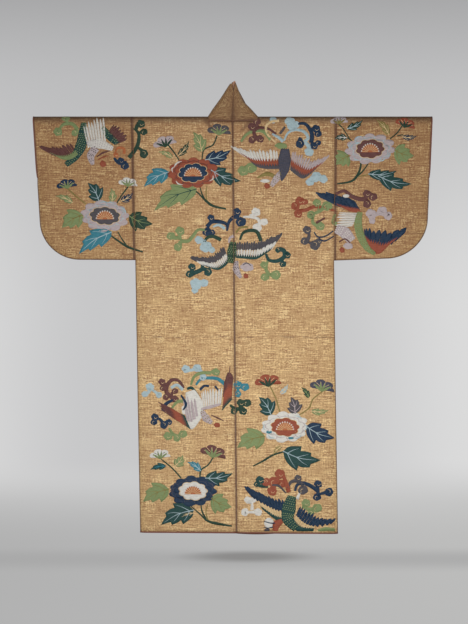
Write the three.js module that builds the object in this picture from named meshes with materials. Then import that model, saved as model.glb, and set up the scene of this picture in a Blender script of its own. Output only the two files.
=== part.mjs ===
// A noh robe of gold-ground brocade that hangs flat from a plain wooden rod run through both sleeves.
// Millimetres, +Z up. The back of the robe faces -Y and its fronts face +Y. The wearer's left is -X.
// The origin is on the axis of the rod at its middle, where the rod is held.
import * as THREE from "three";

// Rod
const ROD_RADIUS = 14;
const ROD_SIDES = 16;
const ROD_HALF_LENGTH = 694;

// Cloth walls. Ground weave and lining hang together as one wall.
const CLOTH = 1.8;
const COLLAR_CLOTH = 2.4;
const LIP_CLOTH = 2.6;
const SEAM_GAP = 0.3;
const HALF_GAP = SEAM_GAP / 2;

// Mid-surface radii of the turn over the rod
const TURN = ROD_RADIUS + SEAM_GAP + CLOTH / 2;
const COLLAR_TURN = ROD_RADIUS + SEAM_GAP + COLLAR_CLOTH / 2 + 0.1;
const TURN_STEP = 2 * Math.PI / ROD_SIDES;
const TURN_STEPS = ROD_SIDES / 2;

// The flat hollow between back and fronts, half its depth, and how fast it narrows below the rod
const LOW_HALF = 10.5;
const NARROWING = 320;
const EDGE_TURN = 40;
const LAP = 5;
const LAP_START = 60;
const LAP_SIDE_MARGIN = 10;
const LAP_SIDE_WIDTH = 55;

// Body, measured on the robe hung flat. Each row is a height with the two side edges and the middle seam.
const PANEL = 355;
const BODY_LINES = [
  { z: 17, left: -354.5, middle: 0, right: 364 },
  { z: -500, left: -346.5, middle: 4.5, right: 361.5 },
  { z: -1000, left: -338, middle: 9.5, right: 368 },
  { z: -1468, left: -329, middle: 14.2, right: 375.5 },
];
const NECK_HALF = 87;
const HEM = -1463.5;
const HEM_SLOPE = -0.0063;
const FRONT_DROP = 6;
const FRONT_DROP_FROM = -40;
const FRONT_DROP_WIDTH = 210;
const CLOSED_SIDE_INSET = 1.2;

// Overlap panels and the slanting collar seam
const OKUMI = 158;
const SEAM_END = -844;
const SEAM_FIRST_SLOPE = 0.395;
const EDGE_END = -820;
const EDGE_END_REACH = 284;
const EDGE_FIRST_SLOPE = 0.36;

// Collar behind the neck. Each row is one level from the neck seam up to the top of the fold.
const BACK_TOP_Y = -4.5;
const FRONT_TOP_Y = 2;
const TOP_HEIGHT = 145;
const NOTCH = { x: 3.2, z: 102.4 };
const COLLARS = {
  left: {
    fold: [
      { x: -87, z: 15.6 },
      { x: -70.5, z: 42 },
      { x: -55.5, z: 62.5 },
      { x: -38, z: 87 },
      { x: -23, z: 111 },
      { x: -8.5, z: 132.7 },
    ],
    hump: { x: 0, z: 140 },
    apex: { x: 8.5, z: 145 },
  },
  right: {
    fold: [
      { x: 89.2, z: 15.6 },
      { x: 66, z: 41.5 },
      { x: 49, z: 58.5 },
      { x: 32.5, z: 77 },
      { x: 23.5, z: 101 },
      { x: 12.5, z: 131 },
    ],
    hump: { x: 11.2, z: 127.5 },
    apex: { x: 9.6, z: 123 },
  },
};
// Crosswise lines of the slanting band: where each starts on the seam and ends on the free edge
const BAND_LINES = [
  { seam: -22, below: 0 },
  { seam: -38, below: 28 },
  { seam: -62, below: 76 },
  { seam: -100, below: 140 },
  { seam: -160, below: 225 },
  { seam: -240, below: 320 },
  { seam: -330, below: 420 },
  { seam: -430, below: 530 },
  { seam: -535, below: 640 },
  { seam: -640, below: 750 },
  { seam: -745, below: 860 },
];
const HUMP_SEAM = -10;
const BACK_SHARES = [0, 0.34, 0.7];
const FOLD_DIP = 0.6;
const COLLAR_PROUD = 0.5;
const ROD_LEVEL = 40;

// Sleeves: half reach at the shoulder, inward lean of the outer edge, corner radius, and bottom heights
const SLEEVE_TOP = 16;
const CUFF_BOTTOM = -205;
const SLEEVES = {
  left: { reach: 708, lean: 0.064, radius: 130, innerBottom: -494.8, outerBottom: -493.5 },
  right: { reach: 708, lean: 0.042, radius: 140, innerBottom: -496.5, outerBottom: -489.5 },
};
const SLEEVE_EDGE_COLUMNS = [0, 2, 8, 22, 46, 78, 108];
const SLEEVE_PLAIN_COLUMNS = 4;
const RISES_FROM_BOTTOM = [0, 2, 8, 24, 60];
const RISES_FROM_CUFF = [0, 3, 12, 38];
const SLEEVE_TOP_ROWS = [-95, -35, 0];
const ARMHOLE_FLOOR_RISE = 8;

// Lining edges that show
const LIP_HEIGHT = 4.2;
const CUFF_LIP_WIDTH = 3;
const CUFF_LIP_LIFT = 3;

// Columns across a body strip, from its side edge, and rows down it
const BODY_EDGE_COLUMNS = [0, 2, 8, 22, 46, 95, 150, 208];
const INNER_SEAM_HEIGHTS = [-38, -100, -160];
const BAND_LINE_ROOM = 30;
const OKUMI_ROW_SHARES = [0, 0.01, 0.08, 0.18, 0.29, 0.4, 0.52, 0.64, 0.76, 0.87, 0.95, 1];
const SEAM_DROP = 0.45;
const SEARCH_STEPS = 40;
const POINTS_PER_MM = 1000;
const ROWS_ABOVE_CLOSED = [2, 8, 24, 60];
const ROWS_BELOW_CLOSED = [-520, -570, -650, -750, -860, -970, -1080, -1190, -1300, -1400];
const ROWS_TO_SHOULDER = [-350, -265, -180, -105, -50, -18, 0];

// Broad soft folds of the hung cloth: centre, run in degrees from +X, half length, half width, depth, face
const FOLDS = [
  { x: -170, z: -95, run: 148, length: 150, width: 34, depth: 2.2, side: -1 },
  { x: 185, z: -80, run: 28, length: 135, width: 30, depth: 2, side: -1 },
  { x: -95, z: -620, run: 86, length: 330, width: 60, depth: 2.4, side: -1 },
  { x: 150, z: -760, run: 93, length: 420, width: 70, depth: -2.2, side: -1 },
  { x: -210, z: -1240, run: 88, length: 300, width: 62, depth: -2.4, side: -1 },
  { x: 225, z: -1290, run: 90, length: 270, width: 60, depth: 2.6, side: -1 },
  { x: 60, z: -1330, run: 94, length: 240, width: 46, depth: 2, side: -1 },
  { x: -540, z: -250, run: 82, length: 190, width: 55, depth: 2, side: -1 },
  { x: 545, z: -300, run: 99, length: 170, width: 60, depth: 2, side: -1 },
  { x: -250, z: -700, run: 87, length: 380, width: 60, depth: 2.2, side: 1 },
  { x: 245, z: -950, run: 92, length: 400, width: 64, depth: 2.4, side: 1 },
  { x: -520, z: -280, run: 97, length: 180, width: 55, depth: 2.2, side: 1 },
  { x: 550, z: -230, run: 84, length: 190, width: 58, depth: 2, side: 1 },
];

const LEFT = -1;
const RIGHT = 1;
const BACK = -1;
const FRONT = 1;

const GOLD = 0xb98f57;
const LINING = 0x7d452b;
const WOOD = 0x9a7550;

function mix(a, b, t) {
  return a + (b - a) * t;
}

function smooth(t) {
  const s = Math.min(1, Math.max(0, t));
  return s * s * (3 - 2 * s);
}

// Reads one named column of a table of heights that fall from row to row.
function atHeight(rows, column, z) {
  const last = rows.length - 1;
  if (z >= rows[0].z) {
    return rows[0][column];
  }
  for (let i = 0; i < last; i += 1) {
    if (z >= rows[i + 1].z) {
      const t = (rows[i].z - z) / (rows[i].z - rows[i + 1].z);
      return mix(rows[i][column], rows[i + 1][column], t);
    }
  }
  return rows[last][column];
}

// Places a distance across the cut panel, negative to the left, on the body as it hangs and leans.
function across(p, z) {
  const middle = atHeight(BODY_LINES, "middle", z);
  const edge = atHeight(BODY_LINES, p < 0 ? "left" : "right", z);
  return mix(middle, edge, Math.abs(p) / PANEL);
}

// Half depth of the hollow below the rod, away from any closed edge.
function halfDepth(z) {
  return mix(LOW_HALF, TURN, Math.exp(Math.min(0, z) / NARROWING));
}

// Share of the half depth that is left at a distance from a closed edge.
function edgeShare(distance) {
  const t = Math.min(1, Math.max(0, distance / EDGE_TURN));
  return Math.sqrt(1 - (1 - t) * (1 - t));
}

// Outward push of the broad folds on one face of the robe.
function foldPush(x, z, face) {
  let push = 0;
  for (const fold of FOLDS) {
    if (fold.side === face) {
      const angle = THREE.MathUtils.degToRad(fold.run);
      const dx = x - fold.x;
      const dz = z - fold.z;
      const along = (dx * Math.cos(angle) + dz * Math.sin(angle)) / fold.length;
      const beside = (dz * Math.cos(angle) - dx * Math.sin(angle)) / fold.width;
      push += fold.depth * Math.exp(-along * along - beside * beside);
    }
  }
  return push * smooth(-z / LAP_START);
}

// Distance from a point of the body to the closed side seam below the sleeve.
function sideDistance(p, z, side) {
  const beside = Math.max(0, PANEL - side * p);
  const above = z - sleeveOf(side).innerBottom;
  return above > 0 ? Math.hypot(beside, above) : beside;
}

// Outward step of the left front, which lies over the right front.
function lapStep(p, z, side) {
  if (side === RIGHT) {
    return 0;
  }
  const fromSide = smooth((p + PANEL - LAP_SIDE_MARGIN) / LAP_SIDE_WIDTH);
  const fromNeck = p < -NECK_HALF ? -z : Math.hypot(p + NECK_HALF, z);
  return LAP * fromSide * smooth(fromNeck / LAP_START);
}

// Y of a body sheet's middle at a place below the rod.
function bodyY(p, z, side, face) {
  const share = edgeShare(sideDistance(p, z, side));
  const push = halfDepth(z) + foldPush(across(p, z), z, face);
  const lap = face === FRONT ? lapStep(p, z, side) : 0;
  return face * (push * share + lap);
}

function sleeveOf(side) {
  return side === LEFT ? SLEEVES.left : SLEEVES.right;
}

// Height of the hem at a distance across the panel.
function hemHeight(p, face) {
  const run = Math.min(1, Math.max(0, (p - FRONT_DROP_FROM) / FRONT_DROP_WIDTH));
  const drop = face === FRONT ? FRONT_DROP * Math.sin(Math.PI * run) : 0;
  return HEM + HEM_SLOPE * p - drop;
}

// A slanting line that leaves its start at one slope and bends to reach its end.
function slant(start, end, firstSlope) {
  const drop = start.z - end.z;
  const first = firstSlope * drop;
  const bend = end.x - start.x - first;
  return (z) => {
    const t = (start.z - z) / drop;
    return start.x + first * t + bend * t * t;
  };
}

const seamLine = slant({ x: -NECK_HALF, z: 0 }, { x: OKUMI, z: SEAM_END }, SEAM_FIRST_SLOPE);

// Height at which the collar seam crosses a distance across the panel, for the left front.
function seamHeight(p) {
  let high = 0;
  let low = SEAM_END;
  for (let i = 0; i < SEARCH_STEPS; i += 1) {
    const z = (high + low) / 2;
    if (seamLine(z) < p) {
      high = z;
    } else {
      low = z;
    }
  }
  return (high + low) / 2;
}

// Unit vector across the collar seam, in the plane of the fronts, for one side.
function seamAcross(z, side) {
  const step = 1;
  const run = across(-side * seamLine(z + step), z + step) - across(-side * seamLine(z - step), z - step);
  return new THREE.Vector3(2 * step, 0, -run).normalize();
}

// A sheet gathers the middle of a cloth wall as four-sided faces. Points that fall together are one.
class Sheet {
  constructor() {
    this.points = [];
    this.trims = [];
    this.faces = [];
    this.index = new Map();
  }

  // Adds a point. A trim is a direction that the wall's thickness may not lean towards there.
  add(x, y, z, trim) {
    const key = [x, y, z].map((value) => Math.round(value * POINTS_PER_MM)).join(" ");
    if (!this.index.has(key)) {
      this.index.set(key, this.points.length);
      this.points.push(new THREE.Vector3(x, y, z));
      this.trims.push(trim ?? null);
    }
    return this.index.get(key);
  }

  // Adds a grid of points given as rows of equal length.
  grid(rows) {
    for (let j = 0; j + 1 < rows.length; j += 1) {
      for (let i = 0; i + 1 < rows[j].length; i += 1) {
        this.faces.push([rows[j][i], rows[j][i + 1], rows[j + 1][i + 1], rows[j + 1][i]]);
      }
    }
  }

  triangles() {
    const list = [];
    for (const face of this.faces) {
      const corners = face.filter((corner, k) => corner !== face[(k + 1) % face.length]);
      for (let k = 1; k + 1 < corners.length; k += 1) {
        list.push([corners[0], corners[k], corners[k + 1]]);
      }
    }
    return list;
  }

  // Mean unit normal at each point, turned off the trim where there is one.
  normals(triangles) {
    const normals = this.points.map(() => new THREE.Vector3());
    for (const [a, b, c] of triangles) {
      const edge = this.points[b].clone().sub(this.points[a]);
      const cross = edge.cross(this.points[c].clone().sub(this.points[a]));
      normals[a].add(cross);
      normals[b].add(cross);
      normals[c].add(cross);
    }
    return normals.map((normal, k) => {
      const trim = this.trims[k];
      if (trim) {
        normal.addScaledVector(trim, -normal.dot(trim));
      }
      return normal.normalize();
    });
  }

  // Closes the sheet into a wall of even thickness, outer face along the normals.
  wall(thickness) {
    const triangles = this.triangles();
    const normals = this.normals(triangles);
    const count = this.points.length;
    const positions = new Float32Array(6 * count);
    this.points.forEach((point, k) => {
      point.clone().addScaledVector(normals[k], thickness / 2).toArray(positions, 3 * k);
      point.clone().addScaledVector(normals[k], -thickness / 2).toArray(positions, 3 * (count + k));
    });
    const indices = [];
    const edges = new Map();
    for (const [a, b, c] of triangles) {
      indices.push(a, b, c, count + a, count + c, count + b);
      for (const [from, to] of [[a, b], [b, c], [c, a]]) {
        edges.set(`${from} ${to}`, [from, to]);
      }
    }
    for (const [from, to] of edges.values()) {
      if (!edges.has(`${to} ${from}`)) {
        indices.push(from, count + to, to, from, count + from, count + to);
      }
    }
    const geometry = new THREE.BufferGeometry();
    geometry.setAttribute("position", new THREE.BufferAttribute(positions, 3));
    geometry.setIndex(indices);
    geometry.computeVertexNormals();
    return geometry;
  }
}

const TRIM_X = new THREE.Vector3(1, 0, 0);
const TRIM_Z = new THREE.Vector3(0, 0, 1);

// Columns of a body strip between the neck corner and the middle seam, where the collar seam's lines meet it.
function innerColumns(side) {
  const between = INNER_SEAM_HEIGHTS.map((z) => -side * seamLine(z));
  return [side * NECK_HALF, ...between, 0];
}

// Columns of an overlap panel from its seam to its straight edge, on the collar seam's lines.
function okumiColumns() {
  const first = seamHeight(SEAM_GAP);
  const below = BAND_LINES.filter((line) => line.seam < first - BAND_LINE_ROOM);
  const between = below.map((line) => seamLine(line.seam));
  return [SEAM_GAP, ...between, OKUMI];
}

// Turns the sheet's faces over when the piece is a mirror image, so that its normals stay outward.
function outward(sheet, side) {
  if (side === RIGHT) {
    sheet.faces.forEach((face) => face.reverse());
  }
  return sheet;
}

// Angles of the turn over the rod, from the back over the top to the front.
function turnAngles() {
  return Array.from({ length: TURN_STEPS + 1 }, (_, k) => k * TURN_STEP - Math.PI / 2);
}

// Heights of a body strip's rows on one face, from the hem to the level of the rod's axis.
function bodyRows(side) {
  const closed = sleeveOf(side).innerBottom;
  const above = ROWS_ABOVE_CLOSED.map((rise) => closed + rise);
  return [...ROWS_BELOW_CLOSED].reverse().concat([closed], above, ROWS_TO_SHOULDER);
}

// One strip of the body: back, over the rod, and front, slit for the neck and closed at its side seam.
function bodyStrip(side) {
  const sheet = new Sheet();
  const closed = sleeveOf(side).innerBottom;
  const outer = BODY_EDGE_COLUMNS.map((inset) => side * (PANEL - inset)).concat([side * NECK_HALF]);
  const inner = innerColumns(side);

  function place(p, z, face) {
    if (Math.abs(p) === PANEL && z <= closed) {
      return sheet.add(across(p, z) - side * CLOSED_SIDE_INSET, 0, z);
    }
    const onSeam = Math.abs(p) === PANEL || p === 0;
    const gap = p === 0 ? side * HALF_GAP : 0;
    return sheet.add(across(p, z) + gap, bodyY(p, z, side, face), z, onSeam ? TRIM_X : null);
  }

  // The front inner edge lies on the collar seam, which starts level with the rod's axis.
  function frontTop(p) {
    return Math.abs(p) >= NECK_HALF ? 0 : seamHeight(-Math.abs(p)) - SEAM_DROP;
  }

  const heights = bodyRows(side);
  const rows = [];
  rows.push(outer.map((p) => sheet.add(...hemPoint(p, side, BACK), TRIM_Z)));
  heights.slice(0, -1).forEach((z) => rows.push(outer.map((p) => place(p, z, BACK))));
  for (const angle of turnAngles()) {
    rows.push(outer.map((p) => {
      const onSeam = Math.abs(p) === PANEL || Math.abs(p) === NECK_HALF;
      return sheet.add(across(p, 0), TURN * Math.sin(angle), TURN * Math.cos(angle), onSeam ? TRIM_X : null);
    }));
  }
  [...heights].reverse().slice(1).forEach((z) => rows.push(outer.map((p) => place(p, z, FRONT))));
  rows.push(outer.map((p) => sheet.add(...hemPoint(p, side, FRONT), TRIM_Z)));
  sheet.grid(rows);

  const backRows = [inner.map((p) => sheet.add(...hemPoint(p, side, BACK), TRIM_Z))];
  heights.slice(0, -1).forEach((z) => backRows.push(inner.map((p) => place(p, z, BACK))));
  backRows.push(inner.map((p) => {
    const gap = p === 0 ? side * HALF_GAP : 0;
    const drop = Math.abs(p) === NECK_HALF ? 0 : HALF_GAP;
    return sheet.add(across(p, 0) + gap, -TURN, -drop, TRIM_Z);
  }));
  sheet.grid(backRows);

  const frontHeights = [...heights].reverse();
  const frontRows = frontHeights.map((level) => inner.map((p) => {
    const z = mix(frontTop(p), hemHeight(p, FRONT), level / hemHeight(p, FRONT));
    const slanted = Math.abs(p) < NECK_HALF && level === 0;
    if (slanted) {
      const gap = p === 0 ? side * HALF_GAP : 0;
      return sheet.add(across(p, z) + gap, bodyY(p, z, side, FRONT), z, seamAcross(z, side));
    }
    if (Math.abs(p) === NECK_HALF && level === 0) {
      return sheet.add(across(p, 0), TURN, 0, TRIM_X);
    }
    return place(p, Math.abs(p) === NECK_HALF ? level : z, FRONT);
  }));
  frontRows.push(inner.map((p) => sheet.add(...hemPoint(p, side, FRONT), TRIM_Z)));
  sheet.grid(frontRows);
  return outward(sheet, side).wall(CLOTH);
}

// A point of the hem's middle line on one face of a body strip.
function hemPoint(p, side, face) {
  const z = hemHeight(p, face);
  if (Math.abs(p) === PANEL) {
    const shared = hemHeight(p, BACK);
    return [across(p, shared) - side * CLOSED_SIDE_INSET, 0, shared];
  }
  const gap = p === 0 ? side * HALF_GAP : 0;
  return [across(p, z) + gap, bodyY(p, z, side, face), z];
}

// The sleeve: a strip folded over the rod and closed along the bottom, the round corner and up to the cuff.
function sleeve(side) {
  const sheet = new Sheet();
  const columns = sleeveColumns(side);
  const rows = [];
  const backHeights = columns.map((column) => sleeveHeights(column.bottom));
  const levels = backHeights[0].length;
  for (let j = 0; j < levels - 1; j += 1) {
    rows.push(columns.map((column, i) => sleevePoint(sheet, side, column, backHeights[i][j], BACK)));
  }
  for (const angle of turnAngles()) {
    rows.push(columns.map((column) => sheet.add(
      column.place(0), TURN * Math.sin(angle), TURN * Math.cos(angle), column.trim)));
  }
  for (let j = levels - 2; j >= 0; j -= 1) {
    rows.push(columns.map((column, i) => sleevePoint(sheet, side, column, backHeights[i][j], FRONT)));
  }
  sheet.grid(rows);
  return outward(sheet, -side).wall(CLOTH);
}

// Where the sleeve's outer edge lies at a height.
function sleeveOuter(side, z) {
  const cut = sleeveOf(side);
  return side * (cut.reach - cut.lean * (SLEEVE_TOP - z));
}

// Columns of the sleeve from the outer edge to the armhole, each with its place at a height and its bottom.
function sleeveColumns(side) {
  const cut = sleeveOf(side);
  const columns = SLEEVE_EDGE_COLUMNS.map((inset) => ({
    inset,
    place: (z) => sleeveOuter(side, z) - side * inset,
    bottom: cornerBottom(cut, inset),
    trim: inset === 0 ? TRIM_X : null,
  }));
  for (let k = 0; k <= SLEEVE_PLAIN_COLUMNS; k += 1) {
    const t = k / SLEEVE_PLAIN_COLUMNS;
    columns.push({
      inset: cut.radius + t * (cut.reach - cut.radius - PANEL),
      place: (z) => mix(
        sleeveOuter(side, z) - side * cut.radius,
        across(side * PANEL, z) + side * SEAM_GAP,
        t),
      bottom: mix(cut.outerBottom, cut.innerBottom, t),
      trim: t === 1 ? TRIM_X : null,
    });
  }
  return columns;
}

// Height of the round corner's edge at a distance in from the outer edge.
function cornerBottom(cut, inset) {
  const run = cut.radius - inset;
  return cut.outerBottom + cut.radius - Math.sqrt(cut.radius * cut.radius - run * run);
}

// Heights of a sleeve column's points from its bottom to the level of the rod's axis.
function sleeveHeights(bottom) {
  const near = RISES_FROM_BOTTOM.map((rise) => bottom + rise);
  const middle = (near.at(-1) + CUFF_BOTTOM) / 2;
  const cuff = RISES_FROM_CUFF.map((rise) => CUFF_BOTTOM + rise);
  return near.concat([middle], cuff, SLEEVE_TOP_ROWS);
}

// Distance from a point of the sleeve to its closed edge: bottom, round corner and outer edge below the cuff.
function sleeveDistance(cut, column, z) {
  const floor = Math.max(0, z - Math.min(column.bottom, cut.innerBottom + ARMHOLE_FLOOR_RISE));
  const cornerTop = cut.outerBottom + cut.radius;
  if (column.inset < cut.radius && z < cornerTop) {
    return Math.max(0, cut.radius - Math.hypot(cut.radius - column.inset, cornerTop - z));
  }
  const outer = z <= CUFF_BOTTOM ? column.inset : Math.hypot(column.inset, z - CUFF_BOTTOM);
  return Math.min(floor, outer);
}

function sleevePoint(sheet, side, column, z, face) {
  const cut = sleeveOf(side);
  const isBottom = z === column.bottom;
  const isClosedEdge = column.inset === 0 && z <= CUFF_BOTTOM;
  if (isBottom || isClosedEdge) {
    const trim = column.trim && !isClosedEdge ? column.trim : null;
    return sheet.add(column.place(z), 0, z, trim);
  }
  const push = halfDepth(z) + foldPush(column.place(z), z, face);
  const y = face * push * edgeShare(sleeveDistance(cut, column, z));
  return sheet.add(column.place(z), y, z, column.trim);
}

// Y of the collar behind the neck and of the bands in front, above the rod's axis.
function collarBackY(z) {
  return mix(-COLLAR_TURN, BACK_TOP_Y, z / TOP_HEIGHT);
}

function frontY(p, z, side) {
  if (z <= 0) {
    return bodyY(p, z, side, FRONT);
  }
  const rise = Math.min(1, Math.max(0, z - ROD_LEVEL) / (TOP_HEIGHT - ROD_LEVEL));
  return mix(TURN, FRONT_TOP_Y, rise) + lapStep(p, z, side);
}

// One half of the collar: behind the neck, over the fold, and down the front as a slanting band.
function collar(side) {
  const sheet = new Sheet();
  const shape = side === LEFT ? COLLARS.left : COLLARS.right;
  const top = shape.fold.length - 1;
  const levels = shape.fold.map((_, k) => k / top);

  // Crosswise line of the fold at one angle of its turn from back to front.
  function foldColumn(angle) {
    return levels.map((level, k) => {
      const fold = shape.fold[k];
      const opening = 1 - Math.cos(angle);
      const z = fold.z - opening * fold.z * (1 - level) * FOLD_DIP;
      const back = k === 0 ? -COLLAR_TURN : collarBackY(fold.z);
      const front = k === 0 ? COLLAR_TURN : frontY(fold.x, fold.z, side);
      const radius = (front - back) / 2;
      const inward = opening * radius * level;
      const x = k === 0 ? across(side * NECK_HALF, 0) - side * SEAM_GAP : fold.x - side * inward;
      const y = (front + back) / 2 + radius * Math.sin(angle);
      const seamZ = Math.max(COLLAR_TURN * Math.cos(angle), angle < 0 ? SEAM_GAP : 0);
      return { x, y, z: k === 0 ? seamZ : z, trim: k === 0 ? TRIM_X : null };
    });
  }

  const firstFold = foldColumn(-Math.PI / 2);
  const columns = [];
  for (const share of BACK_SHARES) {
    columns.push(levels.map((level, k) => {
      const x = mix(mix(0, NOTCH.x, level) + side * HALF_GAP, firstFold[k].x, share);
      const z = k === 0 ? HALF_GAP : mix(mix(0, NOTCH.z, level), firstFold[k].z, share);
      const y = mix(collarBackY(z), firstFold[k].y, share);
      return { x, y, z, trim: k === 0 ? TRIM_Z : share === 0 ? TRIM_X : null };
    }));
  }
  turnAngles().forEach((angle) => columns.push(foldColumn(angle)));

  const edgeLine = slant(
    { x: -side * shape.apex.x, z: shape.apex.z },
    { x: EDGE_END_REACH, z: EDGE_END },
    EDGE_FIRST_SLOPE);
  const fall = shape.apex.z - EDGE_END;
  const lines = BAND_LINES.map((line) => {
    const edgeZ = shape.apex.z - line.below * fall / (TOP_HEIGHT - EDGE_END);
    return { seam: line.seam, edge: { p: -side * edgeLine(edgeZ), z: edgeZ } };
  });
  lines.unshift({ seam: HUMP_SEAM, edge: { p: shape.hump.x, z: shape.hump.z } });
  lines.push({ seam: SEAM_END, edge: { p: -side * EDGE_END_REACH, z: EDGE_END } });
  for (const line of lines) {
    const direction = seamAcross(line.seam, side).multiplyScalar(-side);
    const start = { p: -side * seamLine(line.seam), z: line.seam };
    columns.push(levels.map((level, k) => {
      const p = mix(start.p, line.edge.p, level);
      const z = mix(start.z, line.edge.z, level);
      const gap = k === 0 ? HALF_GAP : 0;
      return {
        x: across(p, z) + direction.x * gap,
        y: frontY(p, z, side) + COLLAR_PROUD,
        z: z + direction.z * gap,
        trim: k === 0 ? direction : null,
      };
    }));
  }
  const rows = levels.map((_, k) => columns.map((column) => {
    const point = column[k];
    return sheet.add(point.x, point.y, point.z, point.trim);
  }));
  sheet.grid(rows);
  return outward(sheet, -side).wall(COLLAR_CLOTH);
}

// An overlap panel: from the front edge of the body to its own straight edge, slanted on top.
function okumi(side) {
  const sheet = new Sheet();
  const columns = okumiColumns();
  const lastRow = OKUMI_ROW_SHARES.length - 1;
  const rows = OKUMI_ROW_SHARES.map((share, j) => columns.map((reach, i) => {
    const p = -side * reach;
    const top = seamHeight(reach) - SEAM_DROP;
    const z = mix(top, hemHeight(p, FRONT), share);
    const x = across(p, z) - side * (i === 0 ? HALF_GAP : 0);
    let trim = i === 0 ? TRIM_X : null;
    if (j === 0) {
      trim = seamAcross(z, side);
    }
    if (j === lastRow) {
      trim = TRIM_Z;
    }
    return sheet.add(x, frontY(p, z, side), z, trim);
  }));
  sheet.grid(rows);
  return outward(sheet, -side).wall(CLOTH);
}

// A narrow edge of lining below a hem, given the hem's points as [x, y, z] from one end to the other.
function hemLip(points, side) {
  const sheet = new Sheet();
  const rows = [SEAM_GAP, SEAM_GAP + LIP_HEIGHT].map((drop) => points.map(
    ([x, y, z]) => sheet.add(x, y, z - drop, TRIM_Z)));
  sheet.grid(rows);
  return outward(sheet, side).wall(LIP_CLOTH);
}

// Points of a body strip's hem from the centre back round the side seam to the overlap panel's seam.
function bodyHemPoints(side) {
  const outer = BODY_EDGE_COLUMNS.map((inset) => side * (PANEL - inset));
  const columns = outer.concat(innerColumns(side));
  const back = [...columns].reverse().map((p) => hemPoint(p, side, BACK));
  const front = columns.slice(1).map((p) => hemPoint(p, side, FRONT));
  return back.concat(front);
}

function okumiHemPoints(side) {
  return okumiColumns().map((reach, i) => {
    const p = -side * reach;
    const z = hemHeight(p, FRONT);
    return [across(p, z) - side * (i === 0 ? HALF_GAP : 0), frontY(p, z, side), z];
  });
}

// The edge of lining that shows round the cuff opening, as a closed loop.
function cuffLip(side) {
  const sheet = new Sheet();
  const column = sleeveColumns(side)[0];
  const cut = sleeveOf(side);
  const heights = sleeveHeights(column.bottom).filter((z) => z > CUFF_BOTTOM + CUFF_LIP_LIFT && z < 0);
  function loop(reach) {
    const place = (z) => column.place(z) + side * reach;
    const yAt = (z) => halfDepth(z) * edgeShare(sleeveDistance(cut, column, z));
    const low = CUFF_BOTTOM + CUFF_LIP_LIFT;
    const ring = [sheet.add(place(low), 0, low, TRIM_X)];
    heights.forEach((z) => ring.push(sheet.add(place(z), -yAt(z), z, TRIM_X)));
    turnAngles().forEach((angle) => ring.push(
      sheet.add(place(0), TURN * Math.sin(angle), TURN * Math.cos(angle), TRIM_X)));
    [...heights].reverse().forEach((z) => ring.push(sheet.add(place(z), yAt(z), z, TRIM_X)));
    ring.push(ring[0]);
    return ring;
  }
  sheet.grid([loop(SEAM_GAP), loop(SEAM_GAP + CUFF_LIP_WIDTH)]);
  return outward(sheet, -side).wall(CLOTH);
}

function rodShape() {
  const geometry = new THREE.CylinderGeometry(ROD_RADIUS, ROD_RADIUS, 2 * ROD_HALF_LENGTH, ROD_SIDES);
  return geometry.rotateZ(Math.PI / 2);
}

function finish(color, roughness) {
  return new THREE.MeshStandardMaterial({ color, roughness, metalness: 0 });
}

const group = new THREE.Group();

function addPiece(name, geometry, material) {
  const mesh = new THREE.Mesh(geometry, material);
  mesh.name = name;
  group.add(mesh);
}

const brocade = finish(GOLD, 0.6);
const lining = finish(LINING, 0.7);

for (const [word, side] of [["left", LEFT], ["right", RIGHT]]) {
  addPiece(`body_${word}`, bodyStrip(side), brocade);
  addPiece(`sleeve_${word}`, sleeve(side), brocade);
  addPiece(`collar_${word}`, collar(side), brocade);
  addPiece(`okumi_${word}`, okumi(side), brocade);
  addPiece(`hem_lip_${word}`, hemLip(bodyHemPoints(side), side), lining);
  addPiece(`okumi_lip_${word}`, hemLip(okumiHemPoints(side), side), lining);
  addPiece(`cuff_lip_${word}`, cuffLip(side), lining);
}
addPiece("rod", rodShape(), finish(WOOD, 0.55));

export default group;
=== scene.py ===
"""Dresses the noh robe in gold-ground brocade on its plain wooden rod.

Places are in millimetres in the form and its tables, which repeat the named values of the part's source, and in
metres in the finished meshes. The back of the robe faces -Y, its fronts face +Y, and the wearer's left is -X.
"""

from __future__ import annotations

import logging
import math
import random
from dataclasses import dataclass, field
from enum import Enum, IntEnum
from typing import Callable, Iterable, NamedTuple, Protocol, Sequence

import bmesh
import bpy
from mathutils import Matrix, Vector

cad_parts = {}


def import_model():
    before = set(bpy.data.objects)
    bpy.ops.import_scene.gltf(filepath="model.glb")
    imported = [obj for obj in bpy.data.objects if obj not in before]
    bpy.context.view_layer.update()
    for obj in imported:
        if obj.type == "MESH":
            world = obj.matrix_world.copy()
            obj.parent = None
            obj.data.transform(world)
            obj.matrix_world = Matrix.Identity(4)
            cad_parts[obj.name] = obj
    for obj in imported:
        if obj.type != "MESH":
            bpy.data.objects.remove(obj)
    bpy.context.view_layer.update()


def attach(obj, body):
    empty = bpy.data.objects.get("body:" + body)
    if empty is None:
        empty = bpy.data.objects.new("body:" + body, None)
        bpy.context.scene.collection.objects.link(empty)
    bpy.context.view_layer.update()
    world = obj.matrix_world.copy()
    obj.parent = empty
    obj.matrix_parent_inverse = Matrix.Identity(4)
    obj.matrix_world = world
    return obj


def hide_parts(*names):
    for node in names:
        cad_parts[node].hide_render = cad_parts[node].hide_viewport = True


log = logging.getLogger("noh_robe")

MM = 0.001
Point = tuple[float, float]


class Side(IntEnum):
    """Half of the robe, by the wearer's own left and right."""

    LEFT = -1
    RIGHT = 1

    @property
    def word(self) -> str:
        """Name of the side as the nodes spell it."""
        return self.name.lower()


class Face(IntEnum):
    """Face of the robe as it hangs."""

    BACK = -1
    FRONT = 1


def mix(a: float, b: float, t: float) -> float:
    """Value a share t of the way from a to b."""
    return a + (b - a) * t


def clamp(t: float) -> float:
    """Nearest value from 0 to 1."""
    return min(1.0, max(0.0, t))


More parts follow.
